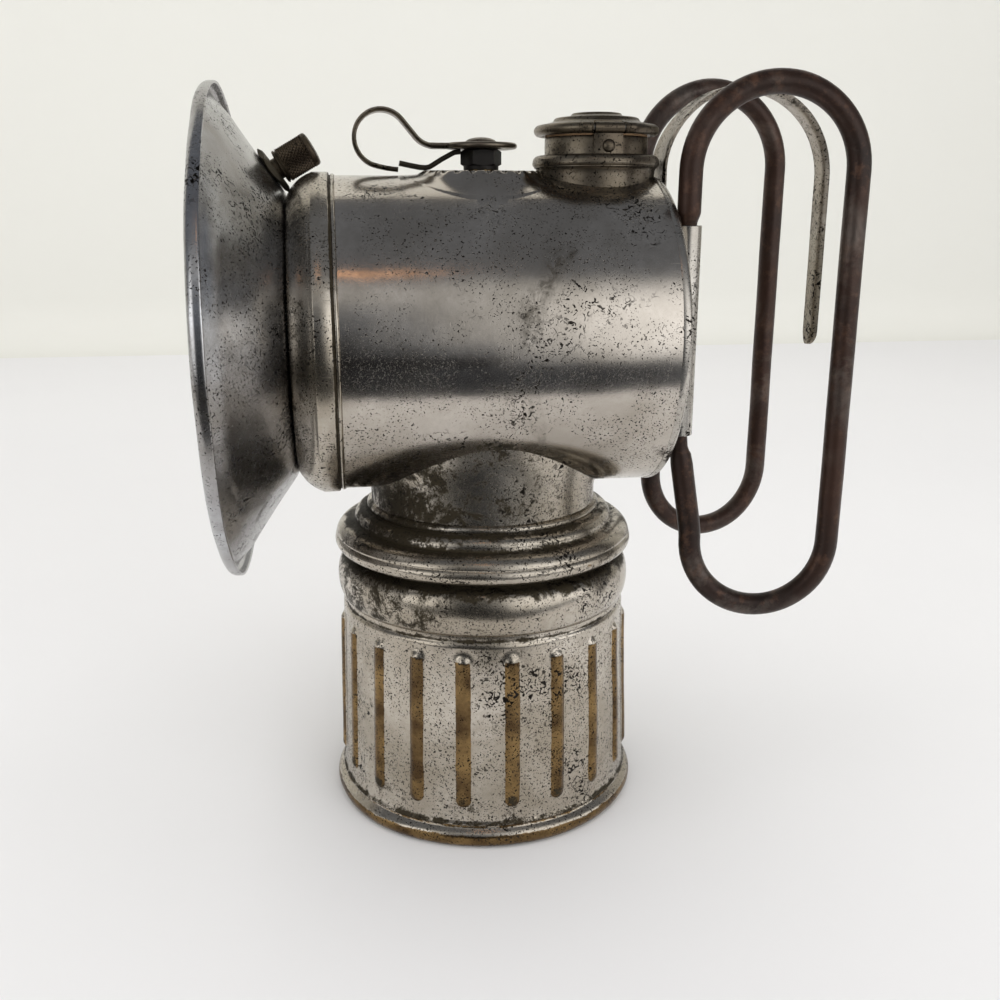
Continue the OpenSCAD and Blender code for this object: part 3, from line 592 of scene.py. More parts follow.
def cup():
    wall = ([6.4, 7.3, 7.9, 8.4] + [8.8 + 0.3 * i for i in range(9)]
            + [12, 14, 17, 20, 24, 28, 32, 36, 39, 41] + [41.7 + 0.3 * i for i in range(9)]
            + [44.6, 45.2, 45.7])
    foot = [(r, max(z, 0.0)) for r, z in arc((FOOT_R - 2.2, 2.08), 2.2, -165, 52, 20)]
    outside = ([(0, 1.5), (12, 1.5), (24, 1.5), (29.5, 1.3)] + foot
               + [(34.05, 4.15), (33.72, 4.45), (33.70, 4.75), (33.98, 5.05), (33.98, 5.35), (33.66, 5.65),
                  (33.62, 5.95)]
               + [(wall_r(z), z) for z in wall]
               + [(wall_r(46.2) - 0.25, 46.2), (wall_r(46.6) - 0.55, 46.6), (wall_r(47) - 0.5, 47.0)]
               + arc((FOOT_R - 4.4, 52.4), 2.4, -68, 68, 22, 2.12)
               + [(30.4, 57.6), (29.6, 57.9), (29.2, 58.4), (29.2, 61), (29.2, COLLAR_TOP - 0.2),
                  (29.0, COLLAR_TOP), (28.4, COLLAR_TOP), (28.2, COLLAR_TOP - 0.2)])
    inside = [(28.2, 57.2), (31.2, 55), (31.8, 52.5), (31.2, 48.4), (30.9, 46.2), (31.2, 44), (32.2, 8),
              (31.6, 4.4), (29, 3.3), (0, 3.3)]
    profile = outside + inside
    # Close steps across each rib, and wide ones between
    across_rib = [-4.6 + 0.4 * i for i in range(24)] + [6.2, 8.0, 9.8, 11.6]
    angles = [RIB_TURN + k * 360 / RIBS + t for k in range(RIBS) for t in across_rib]

    def pressed(r, h, a):
        return (r + rib_height(h, a) if r > 32.3 and 6.3 < h < 45.5 else r), h

    # Each point's bare brass, and its dirt with painted shade in creases, under the lip and at the ribs'
    # lower ends.
    bare, grime_and_shade = [], []
    for a in angles:
        for j, (r, z) in enumerate(profile):
            on_wall = j < len(outside) and 8 < z < 45
            rib = clamp(rib_height(z, a) / RIB_HEIGHT * 1.3) if on_wall else 0
            bare.append(cup_brass(z, rib))
            grime_and_shade.append(cup_grime_and_shade(z, a, rib, on_wall))
    build("cup", revolve(profile, UP, angles, pressed, closed=False), "base", NICKEL,
          ["carbide_cup"], 50, 0.22, (bare, grime_and_shade))


cup()


# ---- Neck and skirt ----

NECK_R, NECK_LOW = 25.3, 69.75


def skirt():
    outside = ([(29.6, 59.6), (30.6, 59.3)] + arc((31.75, 61.0), 1.95, -100, 42, 14)
               + arc((30.2, 61.9), 3.25, 12, 88, 14)
               + [(29.9, 65.15), (29.35, 65.25), (29.15, 65.5)]
               + arc((26.7, 65.7), 2.5, 10, 88, 12)
               + [(26.45, 68.05), (26.3, 68.2)]
               + arc((25.4, 68.7), 0.95, -10, 80, 6)
               + [(25.35, 69.75)])
    inside = [(24.5, 69), (24.9, 67.0), (27.6, 66.4), (28.3, 65.1), (29.6, 64.4)]
    neck_steps = 8
    angles = around(144)
    points, bare, grime_and_shade = [], [], []
    for a in angles:
        c, s = math.cos(math.radians(a)), math.sin(math.radians(a))
        left = left_side(a) ** 3

        def at(r, z, brass, dirt):
            points.append(Vector((r * c, r * s, z)))
            bare.append(brass)
            grime_and_shade.append(clamp(dirt))

        # Dirt with painted shade: darker in the seams, at the low edge over the cup, on the front-left of the
        # upper skirt and at the neck under the tank.
        for r, z in outside:
            seam = max(1 - smooth(abs(z - 65.3) / 0.7), 1 - smooth(abs(z - 68.1) / 0.6))
            low_edge = 1 - smooth((z - 59.0) / 1.2)
            at(r, z, 0.25 * (1 - smooth(abs(z - 61) / 0.8)),
               0.30 + 0.25 * seam + 0.30 * smooth((z - 63.6) / 2.0) * left + 0.8 * low_edge)
        # The neck flares into the tank's underside
        for i in range(1, neck_steps + 1):
            f = i / neck_steps
            r = NECK_R + 0.5 * max(0.0, f - 0.8) / 0.2
            top = TANK_Z - math.sqrt(TANK_R ** 2 - (r * s) ** 2)
            z = NECK_LOW + (top + 0.25 - NECK_LOW) * f
            at(r, z, 0.0, 0.36 + 0.30 * left - 0.06 * smooth((z - 72) / 8))
        rim = TANK_Z - math.sqrt(TANK_R ** 2 - (NECK_R * s) ** 2)
        for r, z in [(25.0, rim + 0.5), (24.5, rim + 0.4)] + inside:
            at(r, z, 0.0, 0.4)
    shape = points, quads(len(angles), len(points) // len(angles), True)
    build("skirt", shape, "head", NICKEL, ["neck_skirt"], 50, 0.14, (bare, grime_and_shade))


skirt()


# ---- Tank ----

CLICKS, CLICK_R = 24, 11.8
BOSS_REACH = 17.5


def tank_top(x, y):
    """Height of the tank's upper half, with the pressed boss and its ring of click dimples."""
    crown = TANK_Z + math.sqrt(max(0.0, TANK_R ** 2 - y * y))
    r = math.hypot(x, y)
    if r > BOSS_REACH:
        return crown
    boss = BOSS_Z - 0.25 - 1.15 * max(0.0, r - 12.2)
    gap = boss - crown
    z = crown + 0.5 * (gap + math.sqrt(gap * gap + 1.3))
    a = math.degrees(math.atan2(y, x))
    off = from_nearest(a, CLICKS, CLICK_R)
    z -= 0.62 * math.exp(-((r - CLICK_R) / 0.62) ** 4 - (off / 0.62) ** 4)
    ridge = 0.5 + 0.5 * math.cos(math.radians(a * CLICKS))
    return z + 0.16 * math.exp(-((r - 12.9) / 0.55) ** 2) * (1 - ridge)


def tank_grime_and_shade(p):
    """Painted shade mixed with dirt on the tank: darker on its underside, most at the front, at the join with
    the neck, in the click dimples and round the filler's foot.
    """
    below = smooth((84 - p.z) / 9) * (0.9 if p.x < 0 else 0.55)
    r = math.hypot(p.x, p.y)
    join = (1 - smooth((r - 26) / 5)) if p.z < TANK_Z else 0
    off = from_nearest(math.degrees(math.atan2(p.y, p.x)), CLICKS, CLICK_R)
    dimple = math.exp(-((r - CLICK_R) / 0.55) ** 2 - (off / 0.55) ** 2) if p.z > TANK_Z else 0
    foot = 1 - smooth((math.hypot(p.x - FILLER_X, p.y) - 12.2) / 2.5) if p.z > TANK_Z else 0
    return clamp(max(0.48 * below, 0.55 * join, dimple, 0.5 * foot, 0.14))


def tank():
    """Shell with a fine grid round the boss and a coarse one elsewhere, open under the filler."""
    step, fine_half = 0.27, 32
    xs = [TANK_FRONT + 0.8 * i for i in range(24) if TANK_FRONT + 0.8 * i < -17]
    xs += [-17 + step * i for i in range(int(34 / step) + 1)]
    xs += [17.6 + 0.55 * i for i in range(34) if 17.6 + 0.55 * i < TANK_REAR - 0.3] + [TANK_REAR]
    fine = math.degrees(step / TANK_R)
    angles = [-fine_half + fine * i for i in range(int(2 * fine_half / fine) + 1)]
    angles += [fine_half + 2.2 * i for i in range(1, 134) if fine_half + 2.2 * i < 359.5 - fine_half]
    points = []
    for x in xs:
        for t in angles:
            y, z = TANK_R * math.sin(math.radians(t)), TANK_R * math.cos(math.radians(t))
            points.append(Vector((x, y, tank_top(x, y) if abs(t) < fine_half + 1 else TANK_Z + z)))

    def in_filler(face):
        middle = sum((points[v] for v in face), Vector()) / 4
        return middle.z > TANK_Z and math.hypot(middle.x - FILLER_X, middle.y) < FILLER_R - 0.1

    faces = [face for face in quads(len(xs), len(angles)) if not in_filler(face)]
    piece = build("tank", (points, faces), "head", TANK_NICKEL, ["tank_shell"], 50, 0.13,
                  ([0.0] * len(points), [tank_grime_and_shade(p) for p in points]))
    wall = piece.modifiers.new("wall", "SOLIDIFY")
    wall.thickness = 0.6 * MM
    wall.offset = -1


tank()


def shoulder(a, b, bow, steps=14):
    """Points from a to b along a shallow bow that bulges away from the beam axis."""
    rise = [2.83 * bow * t * (1 - t) for t in (i / steps for i in range(steps + 1))]
    return [(a[0] + (b[0] - a[0]) * i / steps + rise[i], a[1] + (b[1] - a[1]) * i / steps + rise[i])
            for i in range(steps + 1)]


ring_outline = ([(TANK_R + 0.02, 30.7), (TANK_R + 0.22, 30.75)]
                + arc((TANK_R - 0.1, 31.2), 0.45, -60, 75, 6)
                + [(TANK_R + 0.04, 31.7), (TANK_R + 0.05, 31.85), (TANK_R + 0.5, 31.95),
                   (TANK_R + 0.66, 32.2), (TANK_R + 0.68, 35.2), (TANK_R + 0.62, 35.45)]
                + shoulder((TANK_R + 0.52, 35.6), (29.4, RING_FRONT), 0.6)
                + [(28.6, RING_FRONT - 0.1), (27.8, RING_FRONT - 0.55), (27.8, RING_FRONT - 1.1),
                   (28.9, RING_FRONT - 0.8)]
                + shoulder((29.2, RING_FRONT - 0.75), (TANK_R - 0.15, 35.2), 0.5)
                + [(TANK_R + 0.02, 35.0), (TANK_R + 0.02, 33.0)])
ring_angles = around(180)
ring_bare = [0.0] * len(ring_outline) * len(ring_angles)
ring_grime_and_shade = []
# Dirt with painted shade: darker in the groove next to the tank and a little on the shoulder.
for a in ring_angles:
    for r, h in ring_outline:
        on_shoulder = smooth((h - 35.6) / 1.8)
        groove = 1 - smooth(abs(h - 31.8) / 0.5)
        ring_grime_and_shade.append(clamp(0.27 + 0.10 * on_shoulder + 0.6 * groove))
build("front_trim", revolve(ring_outline, BEAM, ring_angles), "head", NICKEL, ["front_ring"],
      45, 0.10, (ring_bare, ring_grime_and_shade))

rear = [(0, -REAR_X), (12, -REAR_X), (23.6, -REAR_X), (24.4, 0.12 - REAR_X), (25.2, 0.42 - REAR_X),
        (26.2, 0.42 - REAR_X), (27.0, 0.12 - REAR_X), (27.8, -REAR_X), (31.2, -REAR_X)]
rear += arc((TANK_R - 1.05, 1.15 - REAR_X), 1.2, -90, 0, 8)
rear += [(TANK_R + 0.15, 1.6 - REAR_X), (TANK_R + 0.05, 1.95 - REAR_X), (TANK_R - 0.35, 2.0 - REAR_X),
         (TANK_R - 0.6, 1.6 - REAR_X), (TANK_R - 1.2, 0.9 - REAR_X), (27, 0.95 - REAR_X), (20, 0.8 - REAR_X),
         (0, 0.8 - REAR_X)]
build("rear_plate", revolve(rear, BEAM, closed=False), "head", PLAIN_NICKEL, ["rear_head"],
      45, 0.10)


# ---- Reflector ----

def dish(r):
    """Middle of the bowl's sheet at radius r, in front of the lamp's centre line."""
    swell = DISH_SWELL * math.sin(math.radians(9 * (r - 30))) if r > 30 else 0
    return DISH_BACK + 0.3 + DISH * r * r + swell + 0.95 * smooth((r - 44) / 4.5)


curl = (BOWL_R - 1.65, BOWL_FRONT - 1.95)
bowl_path = [(r, dish(r)) for r in [3.6 + (44.4 * i / 46) for i in range(47)]]
bowl_path += arc(curl, 1.35, 128, -6, 18)
bowl_path += [(curl[0] + 1.36, curl[1] - 0.45), (curl[0] + 1.36, curl[1] - 0.8)]
bowl = revolve(sheet(bowl_path, 0.6), BEAM, around(240))
build("bowl", bowl, "head", BOWL_PLATE_SKY_TINTED, ["reflector"], 50, 0.22)


# ---- Filler and lid ----

collar = ([(FILLER_R, 134.6), (12.4, 134.6), (12.45, 139.6), (12.5, 140.4), (12.75, 140.9),
           (FLANGE_R - 0.35, 141.15)] + arc((FLANGE_R - 0.75, 141.95), 0.75, -60, 20, 5)
          + arc((FLANGE_R - 1.4, FLANGE_TOP - 1.35), 1.35, 12, 88, 8)
          + [(FILLER_R + 0.35, FLANGE_TOP - 0.05), (FILLER_R, FLANGE_TOP - 0.3)])


def above_tank(r, h, a):
    """Keeps the collar's foot just under the tank's curved skin."""
    y = r * math.sin(math.radians(a))
    skin = TANK_Z + math.sqrt(TANK_R ** 2 - min(abs(y), 13.0) ** 2)
    return r, max(h, skin - 0.7) if h < 136 else h


build("filler_flange", revolve(collar, FILLER, around(90), above_tank), "head",
      DARK_NICKEL, ["filler_collar"], 45, 0.07)

throat = ([(FILLER_R, 134.8), (FILLER_R, 139), (FILLER_R - 0.02, 143.6), (FILLER_R + 0.02, 145)]
          + [(FILLER_R, FILLER_TOP - 0.35), (FILLER_R - 0.15, FILLER_TOP), (FILLER_R - 0.6, FILLER_TOP),
             (FILLER_R - 0.8, FILLER_TOP - 0.3), (FILLER_R - 0.8, 134.8)])
build("filler_throat", revolve(throat, FILLER, around(90)), "head",
      DARK_NICKEL, ["filler_neck"], 45, 0.05)

ROLL = 1.1
lid_outline = ([(0, 152.15), (4.9, 152.1)] + arc((4.9, 151.7), 0.42, 90, 10, 4)
               + [(5.75, 151.55), (6.4, 151.45), (8.4, 151.15)] + arc((8.5, 150.6), 0.55, 80, 15, 4)
               + [(9.3, 150.35), (10.6, 150.0)] + arc((LID_R - ROLL, 148.6), ROLL, 100, -150, 16)
               + [(10.4, 148.32), (8, 148.32), (7.6, 150.0), (4.9, 150.7), (4.4, 151.3), (0, 151.3)])
notch = math.degrees(math.asin(3.35 / 12.1))
lid_angles = sorted([i * 3.0 for i in range(120) if abs(i * 3.0 - 270) > notch + 0.4]
                    + [270 + notch * s for s in (-1.002, -0.998, -0.7, -0.35, 0, 0.35, 0.7, 0.998, 1.002)])


def notched(r, h, a):
    """Cuts a flat into the rim for the hinge."""
    off = abs(a - 270)
    if off < notch:
        r = min(r, 10.15 / math.cos(math.radians(off)))
    return r, h


knuckles = []
for side in (-1, 1):
    at_hinge = Matrix.Translation((FILLER_X + side * 4.5, -11.6, 148.6))
    tube = [(0.66, -1.2), (0.85, -1.2), (1.05, -1.0), (1.05, 1.0), (0.85, 1.2), (0.66, 1.2)]
    along_x = Matrix.Rotation(math.radians(90), 4, "Y")
    knuckles.append(revolve(tube, at_hinge @ along_x, around(24)))
lid_disc = revolve(lid_outline, FILLER, lid_angles, notched, closed=False)
build("lid", joined(lid_disc, *knuckles), "lid", DARK_NICKEL, ["filler_lid"], 45, 0.04)
for name, width in (("hinge_strap", 0.18), ("hinge_wire", 0.15), ("hinge_rivet", 0.1)):
    bevel(frame["nodes"][name], width)


# ---- Water valve ----

foot_top = NUT_LOW + 1
nut_foot = revolve([(1.6, NUT_LOW), (3.55, NUT_LOW), (3.7, NUT_LOW + 0.15), (3.7, foot_top), (1.6, foot_top)],
                   UP, around(48))
build("gland_nut", joined(nut(8.7, NUT_LOW + 0.8, NUT_TOP, UP, 1.55), nut_foot), "head",
      BLACK_BRASS, ["packing_nut"], 35)

CURL, CURL_AT, CURL_FROM, CURL_TO = 5.6, (-20.8, 146.85), 40, 252
BEND_R = 5
lever_mid = (PLATE_LOW + PLATE_TOP) / 2
lever_turn = math.radians(90 - CURL_FROM)
curl_top, curl_foot = on_circle(CURL_AT, CURL, CURL_FROM), on_circle(CURL_AT, CURL, CURL_TO)
lever_drop = curl_top[1] - lever_mid - BEND_R * (1 - math.cos(lever_turn))
lever_bend = curl_top[0] + lever_drop / math.tan(lever_turn) + BEND_R * math.sin(lever_turn)
tail = [on_circle(curl_foot, d, CURL_TO + 92 + 6 * d / 5) for d in (1.2, 2.6, 3.9, 5.1)]
lever_path = ([(-3.5, lever_mid), (-5.2, lever_mid)]
              + arc((lever_bend, lever_mid + BEND_R), BEND_R, 270, 180 + CURL_FROM, 8)
              + arc(CURL_AT, CURL, CURL_FROM, CURL_TO, 34) + tail)


def lever_section(i):
    """Strip that narrows towards the tip of the finger curl."""
    far = i / (len(lever_path) - 1)
    end = smooth((1 - far) * len(lever_path) / 3)
    return strip_outline((5.5 - 0.5 * far) * (0.62 + 0.38 * end), 0.95 if far > 0.08 else 1.15)


plate = ([(1.55, PLATE_LOW), (6.9, PLATE_LOW)] + arc((7.0, lever_mid), 0.6, -80, 80, 6)
         + [(6.9, PLATE_TOP), (1.55, PLATE_TOP)])
lever_plate = revolve(plate, UP, around(60))
build("lever", joined(ribbon(lever_path, lever_section), lever_plate), "valve", DARK_NICKEL,
      ["valve_lever"], 45, 0.05)

finger_path = [(-4.4, PLATE_LOW - 0.5), (-5.6, PLATE_LOW - 0.65), (-6.6, PLATE_LOW - 1.15),
               (-8.4, BOSS_Z + 2.35), (-10.2, BOSS_Z + 1.25), (-11.0, BOSS_Z + 0.82), (-11.8, BOSS_Z + 0.68),
               (-13.0, BOSS_Z + 0.76), (-15.2, BOSS_Z + 1.16), (-17.2, BOSS_Z + 1.58)]
build("click_finger", ribbon(finger_path, lambda i: strip_outline(3.1 - 0.06 * i, 1.05)), "valve",
      BLACK_BRASS, ["click_spring"], 45)

dome = ([(0.0, PLATE_TOP + 1.2)] + arc((0, PLATE_TOP + 0.1), 3.3, 84, 4, 12, 0.335)
        + [(3.25, PLATE_TOP), (0.0, PLATE_TOP)])
build("screw_head", revolve(dome, UP, around(48), closed=False), "valve",
      DARK_NICKEL, ["lever_screw"], 45)


# ---- Striker ----

build("hex_nut", nut(10.4, 0.12, 1.28, SQUARE_TO_DISH, 2.25), "head", BLACK_BRASS,
      ["striker_nut"], 35)

CAP_R, CAP_FROM, CAP_TO = 3.5, 2.1, 10.0
KNURL_FROM, KNURL_TO = CAP_FROM + 1.05, CAP_TO - 1.1


def groove(turns):
    """0 in the middle of a groove and 1 half way to the next."""
    return abs(2 * (turns - math.floor(turns + 0.5)))


def knurl(r, h, a):
    """Diamond knurl: two sets of grooves that cross, fading out at both ends."""
    if r < CAP_R - 0.2 or not KNURL_FROM < h < KNURL_TO:
        return r, h
    turns, rise = a / 360 * 26, (h - CAP_FROM) / 0.88
    fade = smooth((h - KNURL_FROM) / 0.15) * smooth((KNURL_TO - h) / 0.15)
    return r - fade * 0.36 * (1 - 1.15 * min(groove(turns + rise), groove(turns - rise))), h


knurl_rows = [KNURL_FROM + i * 0.11 for i in range(60) if KNURL_FROM + i * 0.11 < KNURL_TO]
cap_outline = ([(2.35, CAP_FROM), (2.9, CAP_FROM), (3.3, CAP_FROM + 0.08), (CAP_R - 0.02, CAP_FROM + 0.3),
                (CAP_R - 0.02, CAP_FROM + 0.5), (CAP_R - 0.3, CAP_FROM + 0.62),
                (CAP_R - 0.3, CAP_FROM + 0.78), (CAP_R, CAP_FROM + 0.9)]
               + [(CAP_R, h) for h in knurl_rows]
               + [(CAP_R, KNURL_TO), (CAP_R, CAP_TO - 0.8)] + arc((CAP_R - 0.7, CAP_TO - 0.7), 0.7, 0, 80, 6)
               + [(2.2, CAP_TO + 0.12), (1.2, CAP_TO + 0.2), (0, CAP_TO + 0.22), (0, CAP_FROM + 5.6),
                  (2.35, CAP_FROM + 5.6)])
build("flint_cap_knurled", revolve(cap_outline, STRIKER, around(208), knurl), "cap",
      BROWN_KNURL, ["flint_cap"], 30)
for name in ("striker_frame", "burner_nut"):
    bevel(frame["nodes"][name], 0.2)


# ---- Handle ----

TUBE_R = 2.2
WIRE_X = bracket_low.x + 2.7
WIRE_Y = bracket_high.y - 2.7


def bracket():
    """Plate with a rolled tube down each side, as one bent sheet."""
    x = bracket_low.x + 0.5
    section = (arc((x + TUBE_R, -WIRE_Y), TUBE_R, 486, 180, 26)
               + [(x, -WIRE_Y + 2 * WIRE_Y * i / 10) for i in range(1, 10)]
               + arc((x + TUBE_R, WIRE_Y), TUBE_R, 180, -126, 26))
    outline = sheet(section, 0.95)
    inner = sheet(section, 0.7)
    heights = [bracket_low.z + 0.12, 88, 100, 115, 127, bracket_high.z - 0.12]
    levels = [(bracket_low.z, inner)] + [(z, outline) for z in heights] + [(bracket_high.z, inner)]
    points = [Vector((px, py, z)) for z, loop in levels for px, py in loop]
    n = len(outline)
    faces = quads(len(levels), n)
    # Each end is closed with quads between the two sides of the sheet
    side = len(section)
    for base in (0, (len(levels) - 1) * n):
        for j in range(side - 1):
            a, b = j, j + 1
            c, d = side + 3 + (side - 1 - b), side + 3 + (side - 1 - a)
            faces.append((base + a, base + b, base + c, base + d))
        faces.append(tuple(base + v for v in (side - 1, side, side + 1, side + 2, side + 3)))
        faces.append(tuple(base + v for v in (2 * side + 2, 2 * side + 3, 2 * side + 4, 2 * side + 5, 0)))
    build("bracket", (points, faces), "head", PLAIN_NICKEL, ["handle_bracket"], 40, 0.05)


bracket()

WIRE_R, WIRE_NECK, LOW_BEND, SPLAY = 2.4, 1.7, 15.0, 9.2


def bend_between(a, b, c, steps):
    """Points of a smooth bend from a to c that heads for b."""
    parts = [i / steps for i in range(steps + 1)]
    return [tuple(a * (1 - t) ** 2 + b * 2 * t * (1 - t) + c * t * t) for t in parts]


def wire_loop(side, reach, top_z, low_z):
    """Centre line of one loop, in a splayed upright plane through its side of the bracket."""
    top_r = reach / 2
    arch = top_z - WIRE_R - top_r
    bend = low_z + WIRE_R + LOW_BEND
    inner = reach - 2 * LOW_BEND
    seat = bracket_low.z - 1
    start = bracket_high.z + 3
    line = [(0, bracket_high.z - 9 + 1.5 * i) for i in range(7)]
    line += [(0, bracket_high.z + 0.6 + 0.5 * i) for i in range(5)]
    line += [(0, start + (arch - start) * i / 6) for i in range(1, 6)]
    line += arc((top_r, arch), top_r, 180, 0, 40)
    line += [(reach, arch + (bend - arch) * i / 16) for i in range(1, 16)]
    line += arc((reach - LOW_BEND, bend), LOW_BEND, 0, -180, 36)
    knee, heel = Vector((inner, bend + 2)), Vector((0, seat))
    direction = (heel - knee).normalized()
    near, far = knee + direction * 4, heel - direction * 3.5
    line += bend_between(Vector((inner, bend + 0.2)), knee, near, 6)
    line += [tuple(near + (far - near) * i / 6) for i in range(1, 6)]
    line += bend_between(far, heel, heel + Vector((0, 3.5)), 8)
    line += [(0, seat + 4.6 + 1.1 * i) for i in range(4)]
    turn = math.radians(side * SPLAY)
    path = [Vector((WIRE_X + s * math.cos(turn), side * WIRE_Y + s * math.sin(turn), z)) for s, z in line]
    lengths = [0.0]
    for a, b in zip(path, path[1:]):
        lengths.append(lengths[-1] + (b - a).length)
    return path, lengths


def wire_radius(lengths):
    """Radius along the wire, which is necked at both ends where the bracket grips it."""
    def at(i):
        free = min(lengths[i] - 9.1, lengths[-1] - lengths[i] - 9.6)
        return WIRE_NECK + (WIRE_R - WIRE_NECK) * smooth(free / 2.6)
    return at


for name, side, reach, node in (("wire_left", -1, 33.3, "left_loop_wire"),
                                ("wire_right", 1, 35.5, "right_loop_wire")):
    low, high = extent(node)
    path, lengths = wire_loop(side, reach, high.z, low.z)
    build(name, sweep(path, wire_radius(lengths), 28), "head", WIRE, [node], 50, 0.12)

hook_low, hook_high = extent("hook")
root_x, hook_reach = hook_low.x + 0.6, hook_high.x - hook_low.x - 1.2
hook_r = hook_reach / 2
hook_tip = (134, 128, 122, 116, 111, 107.5, 105.5, 104.5, 103.8, 103.3, 102.95, 102.8)
hook_path = ([(root_x, 92 + 6.7 * i) for i in range(7)]
             + arc((root_x + hook_r, hook_high.z - 0.6 - hook_r), hook_r, 180, 0, 44)
             + [(root_x + hook_reach, z) for z in hook_tip])


def hook_section(i):
    """Strip that narrows along the hook, ends in a round tip and has curled edges."""
    x, z = hook_path[i]
    width = 10.5 - 3.9 * clamp((x - root_x) / hook_reach)
    if i > 30 and z < 106:
        width *= math.sqrt(max(0.06, 1 - ((106 - z) / 3.3) ** 2))
    curled = 0.75 * smooth((i - 4) / 8) * clamp(width / 6)
    return strip_outline(width, 1.0, -curled, 14)


build("hanger", ribbon(hook_path, hook_section), "head", HOOK_NICKEL, ["hook"], 50, 0.10)


# ---- Stage, light and camera ----

def plain(name, light, dark, scale, roughness):
    f = Finish(name)
    colour = f.mix(f.noise(scale, 4, 0.5), light, dark)
    return f.finish(colour, 0.0, roughness, f.bump(f.noise(scale * 40, 3), 0.05))


def stage_mesh(name, points, faces, material):
    mesh = bpy.data.meshes.new(name)
    mesh.from_pydata(points, [], faces)
    mesh.polygons.foreach_set("use_smooth", [True] * len(mesh.polygons))
    mesh.materials.append(material)
    piece = bpy.data.objects.new(name, mesh)
    bpy.context.scene.collection.objects.link(piece)
    piece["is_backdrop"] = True
    return piece


FLOOR_WHITE = plain("floor_white", (0.86, 0.86, 0.87), (0.80, 0.80, 0.82), 3.0, 0.75)
WALL_CREAM = plain("wall_cream", (0.80, 0.80, 0.76), (0.77, 0.77, 0.73), 2.0, 0.85)
stage_mesh("floor", [(-4, -4, 0), (4, -4, 0), (4, 0.79, 0), (-4, 0.79, 0)], [(0, 1, 2, 3)], FLOOR_WHITE)
wall_line = arc((0.79, 0.05), 0.05, -90, 0, 8) + [(0.84, 1.6)]
stage_mesh("wall", [(x, y, z) for x in (-4, 4) for y, z in wall_line],
           quads(2, len(wall_line), wrap_columns=False), WALL_CREAM)


def glow_sheet(name, points, faces, levels, warm=False):
    """Sheet that only shows in the metal's reflections. levels gives the brightness of each point."""
    f = Finish(name)
    level = f.mark("level")
    cool = f.mix(f.ramp(level, 0.1, 0.45), (0.90, 0.97, 1.10), (1.0, 1.0, 1.0))
    tint = (1.0, 0.52, 0.25, 1) if warm else cool
    glow = f.node("ShaderNodeEmission")
    f.put(glow.inputs["Color"], tint)
    f.put(glow.inputs["Strength"], level)
    f.put(f.output.inputs["Surface"], glow.outputs[0])
    made = stage_mesh(name, points, faces, f.material)
    attribute = made.data.attributes.new("level", "FLOAT", "POINT")
    attribute.data.foreach_set("value", levels)
    made.visible_camera = made.visible_diffuse = made.visible_shadow = False


def soft_light(name, centre, target, size, power, colour):
    """Area light that metal doesn't mirror: the glow sheets are what it reflects."""
    data = bpy.data.lights.new(name, "AREA")
    data.shape = "RECTANGLE"
    data.size, data.size_y = size
    data.energy = power
    data.color = colour
    lamp = bpy.data.objects.new(name, data)
    lamp.location = centre
    lamp.rotation_mode = "QUATERNION"
    lamp.rotation_quaternion = (Vector(target) - Vector(centre)).to_track_quat("-Z", "Y")
    lamp.visible_glossy = False
    bpy.context.scene.collection.objects.link(lamp)


soft_light("window", (0.45, -1.15, 0.36), (0, 0, 0.10), (1.5, 0.62), 11, (0.98, 0.99, 1.0))
soft_light("sky", (0.0, -0.15, 1.5), (0, 0, 0), (2.4, 2.4), 24, (1.0, 1.0, 0.99))
soft_light("left_fill", (-1.3, -0.2, 0.5), (0, 0, 0.1), (0.8, 0.6), 3, (1.0, 0.98, 0.96))

# The room in front of the lamp, as the metal sees it: a tall window at the right, its glow in the middle,
# and a pale shelf at the left, over a dark sheet of painted shade on the table. Heights are elevations above
# the tank's axis, in degrees.
ROOM_FROM, ROOM_TO, ROOM_ROWS = -18, 112, 20
ROOM_DISTANCE, STREAK_DISTANCE = 0.36, 0.35
LEFT, MIDDLE, RIGHT = 0, 1, 2
ACROSS = [(-3.5, RIGHT), (-0.36, RIGHT), (-0.20, LEFT), (-0.03, LEFT), (0.045, MIDDLE), (0.115, RIGHT),
          (3.5, RIGHT)]


def room_level(up, side):
    """Brightness of the room at one elevation and side."""
    ceiling = 0.17 * smooth((up + 15) / 45)
    if side == LEFT:
        return ceiling + 0.35 * math.exp(-((up - 34) / 9) ** 2)
    if side == MIDDLE:
        return ceiling + 0.45 * smooth((up + 10) / 12) * smooth((47 - up) / 12)
    return ceiling + 1.4 * smooth((up + 20) / 14) * smooth((48 - up) / 24)


def in_front(x, up, distance):
    """Point at a distance from the tank's axis, at an elevation in degrees."""
    up = math.radians(up)
    return x, -distance * math.cos(up), TANK_Z * MM + distance * math.sin(up)


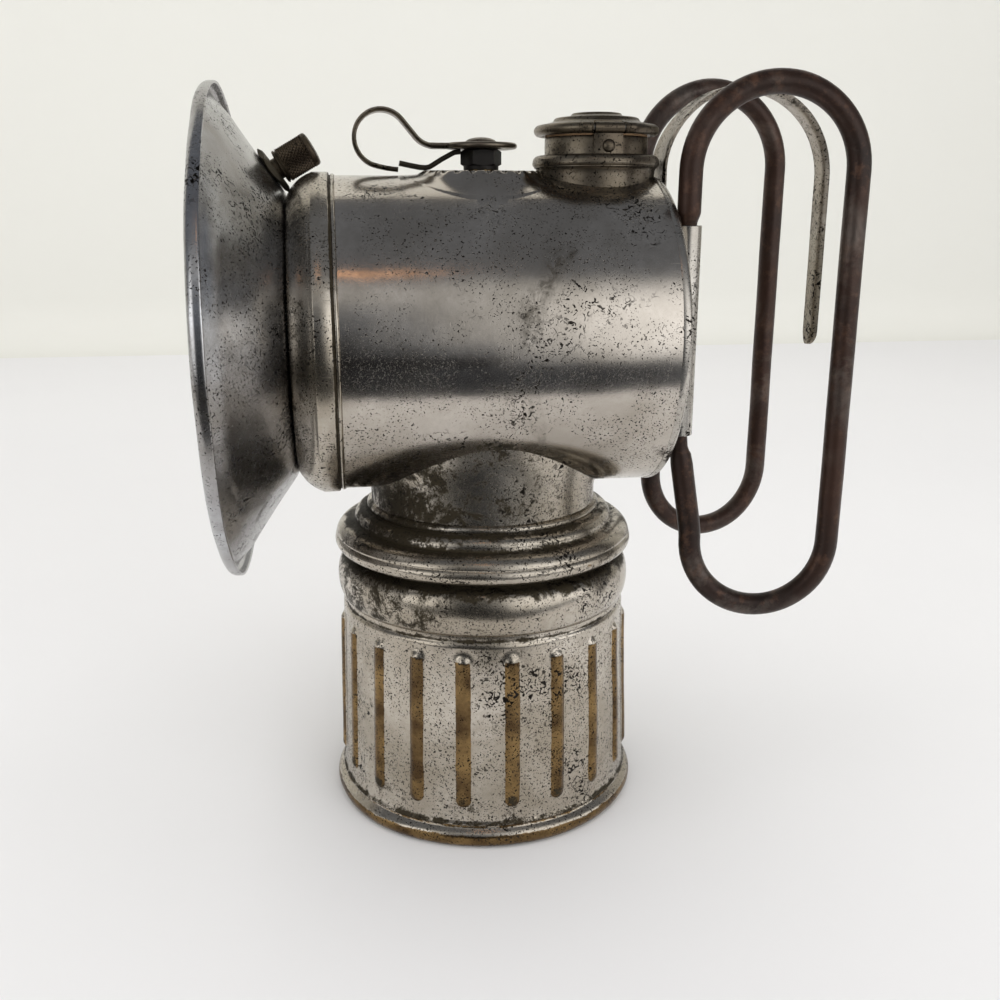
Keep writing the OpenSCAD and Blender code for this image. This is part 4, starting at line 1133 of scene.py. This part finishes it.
elevations = [ROOM_FROM + (ROOM_TO - ROOM_FROM) * i / (ROOM_ROWS - 1) for i in range(ROOM_ROWS)]
glow_sheet("room_front", [in_front(x, up, ROOM_DISTANCE) for up in elevations for x, _ in ACROSS],
           quads(ROOM_ROWS, len(ACROSS), wrap_columns=False),
           [room_level(up, side) for up in elevations for _, side in ACROSS])
# table_shade: a dark sheet over the table that only the metal's reflections see, painted shade in front of
# the lamp.
near_edge = [(-1.4, -0.145), (-0.04, -0.145), (0.05, -0.142), (0.12, -0.185), (0.8, -0.21)]
glow_sheet("table_shade", [(x, y, 0.002) for x, y in near_edge] + [(x, -0.343, 0.002) for x, _ in near_edge],
           quads(2, len(near_edge), wrap_columns=False), [0.03, 0.03, 0.07, 0.08, 0.08] * 2)
streak_across = (-0.07, -0.035, -0.01, 0.015)
glow_sheet("warm_streak", [in_front(x, up, STREAK_DISTANCE) for up in (46.5, 48.5) for x in streak_across],
           quads(2, len(streak_across), wrap_columns=False), [1.2, 3.4, 2.0, 0.2] * 2, warm=True)

world = bpy.data.worlds.new("room")
bpy.context.scene.world = world
world.use_nodes = True
tree = world.node_tree
tree.nodes.clear()
direction = tree.nodes.new("ShaderNodeTexCoord")
split = tree.nodes.new("ShaderNodeSeparateXYZ")
height = tree.nodes.new("ShaderNodeValToRGB")
glow = tree.nodes.new("ShaderNodeBackground")
tree.links.new(direction.outputs["Generated"], split.inputs[0])
tree.links.new(split.outputs["Z"], height.inputs["Fac"])
tree.links.new(height.outputs["Color"], glow.inputs["Color"])
tree.links.new(glow.outputs[0], tree.nodes.new("ShaderNodeOutputWorld").inputs["Surface"])
stops = height.color_ramp.elements
stops[0].position, stops[0].color = 0.0, (0.62, 0.60, 0.56, 1)
stops[1].position, stops[1].color = 0.62, (0.19, 0.175, 0.160, 1)
middle = stops.new(0.38)
middle.color = (0.30, 0.28, 0.26, 1)
glow.inputs["Strength"].default_value = 1.0
bpy.context.scene.view_settings.view_transform = "Standard"

camera = bpy.data.cameras.new("camera")
camera.sensor_width = 36
camera.lens = 37.56
camera.clip_start, camera.clip_end = 0.01, 20
viewer = bpy.data.objects.new("camera", camera)
yaw, pitch = 0.144, 0.272
right = Vector((math.cos(yaw), -math.sin(yaw), 0))
ahead = Vector((math.sin(yaw) * math.cos(pitch), math.cos(yaw) * math.cos(pitch), -math.sin(pitch)))
above = right.cross(ahead)
turn = Matrix((right, above, -ahead)).transposed().to_4x4()
viewer.matrix_world = Matrix.Translation(Vector((-29.18, -229.23, 132.71)) * MM) @ turn
bpy.context.scene.collection.objects.link(viewer)
bpy.context.scene.camera = viewer

low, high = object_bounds()
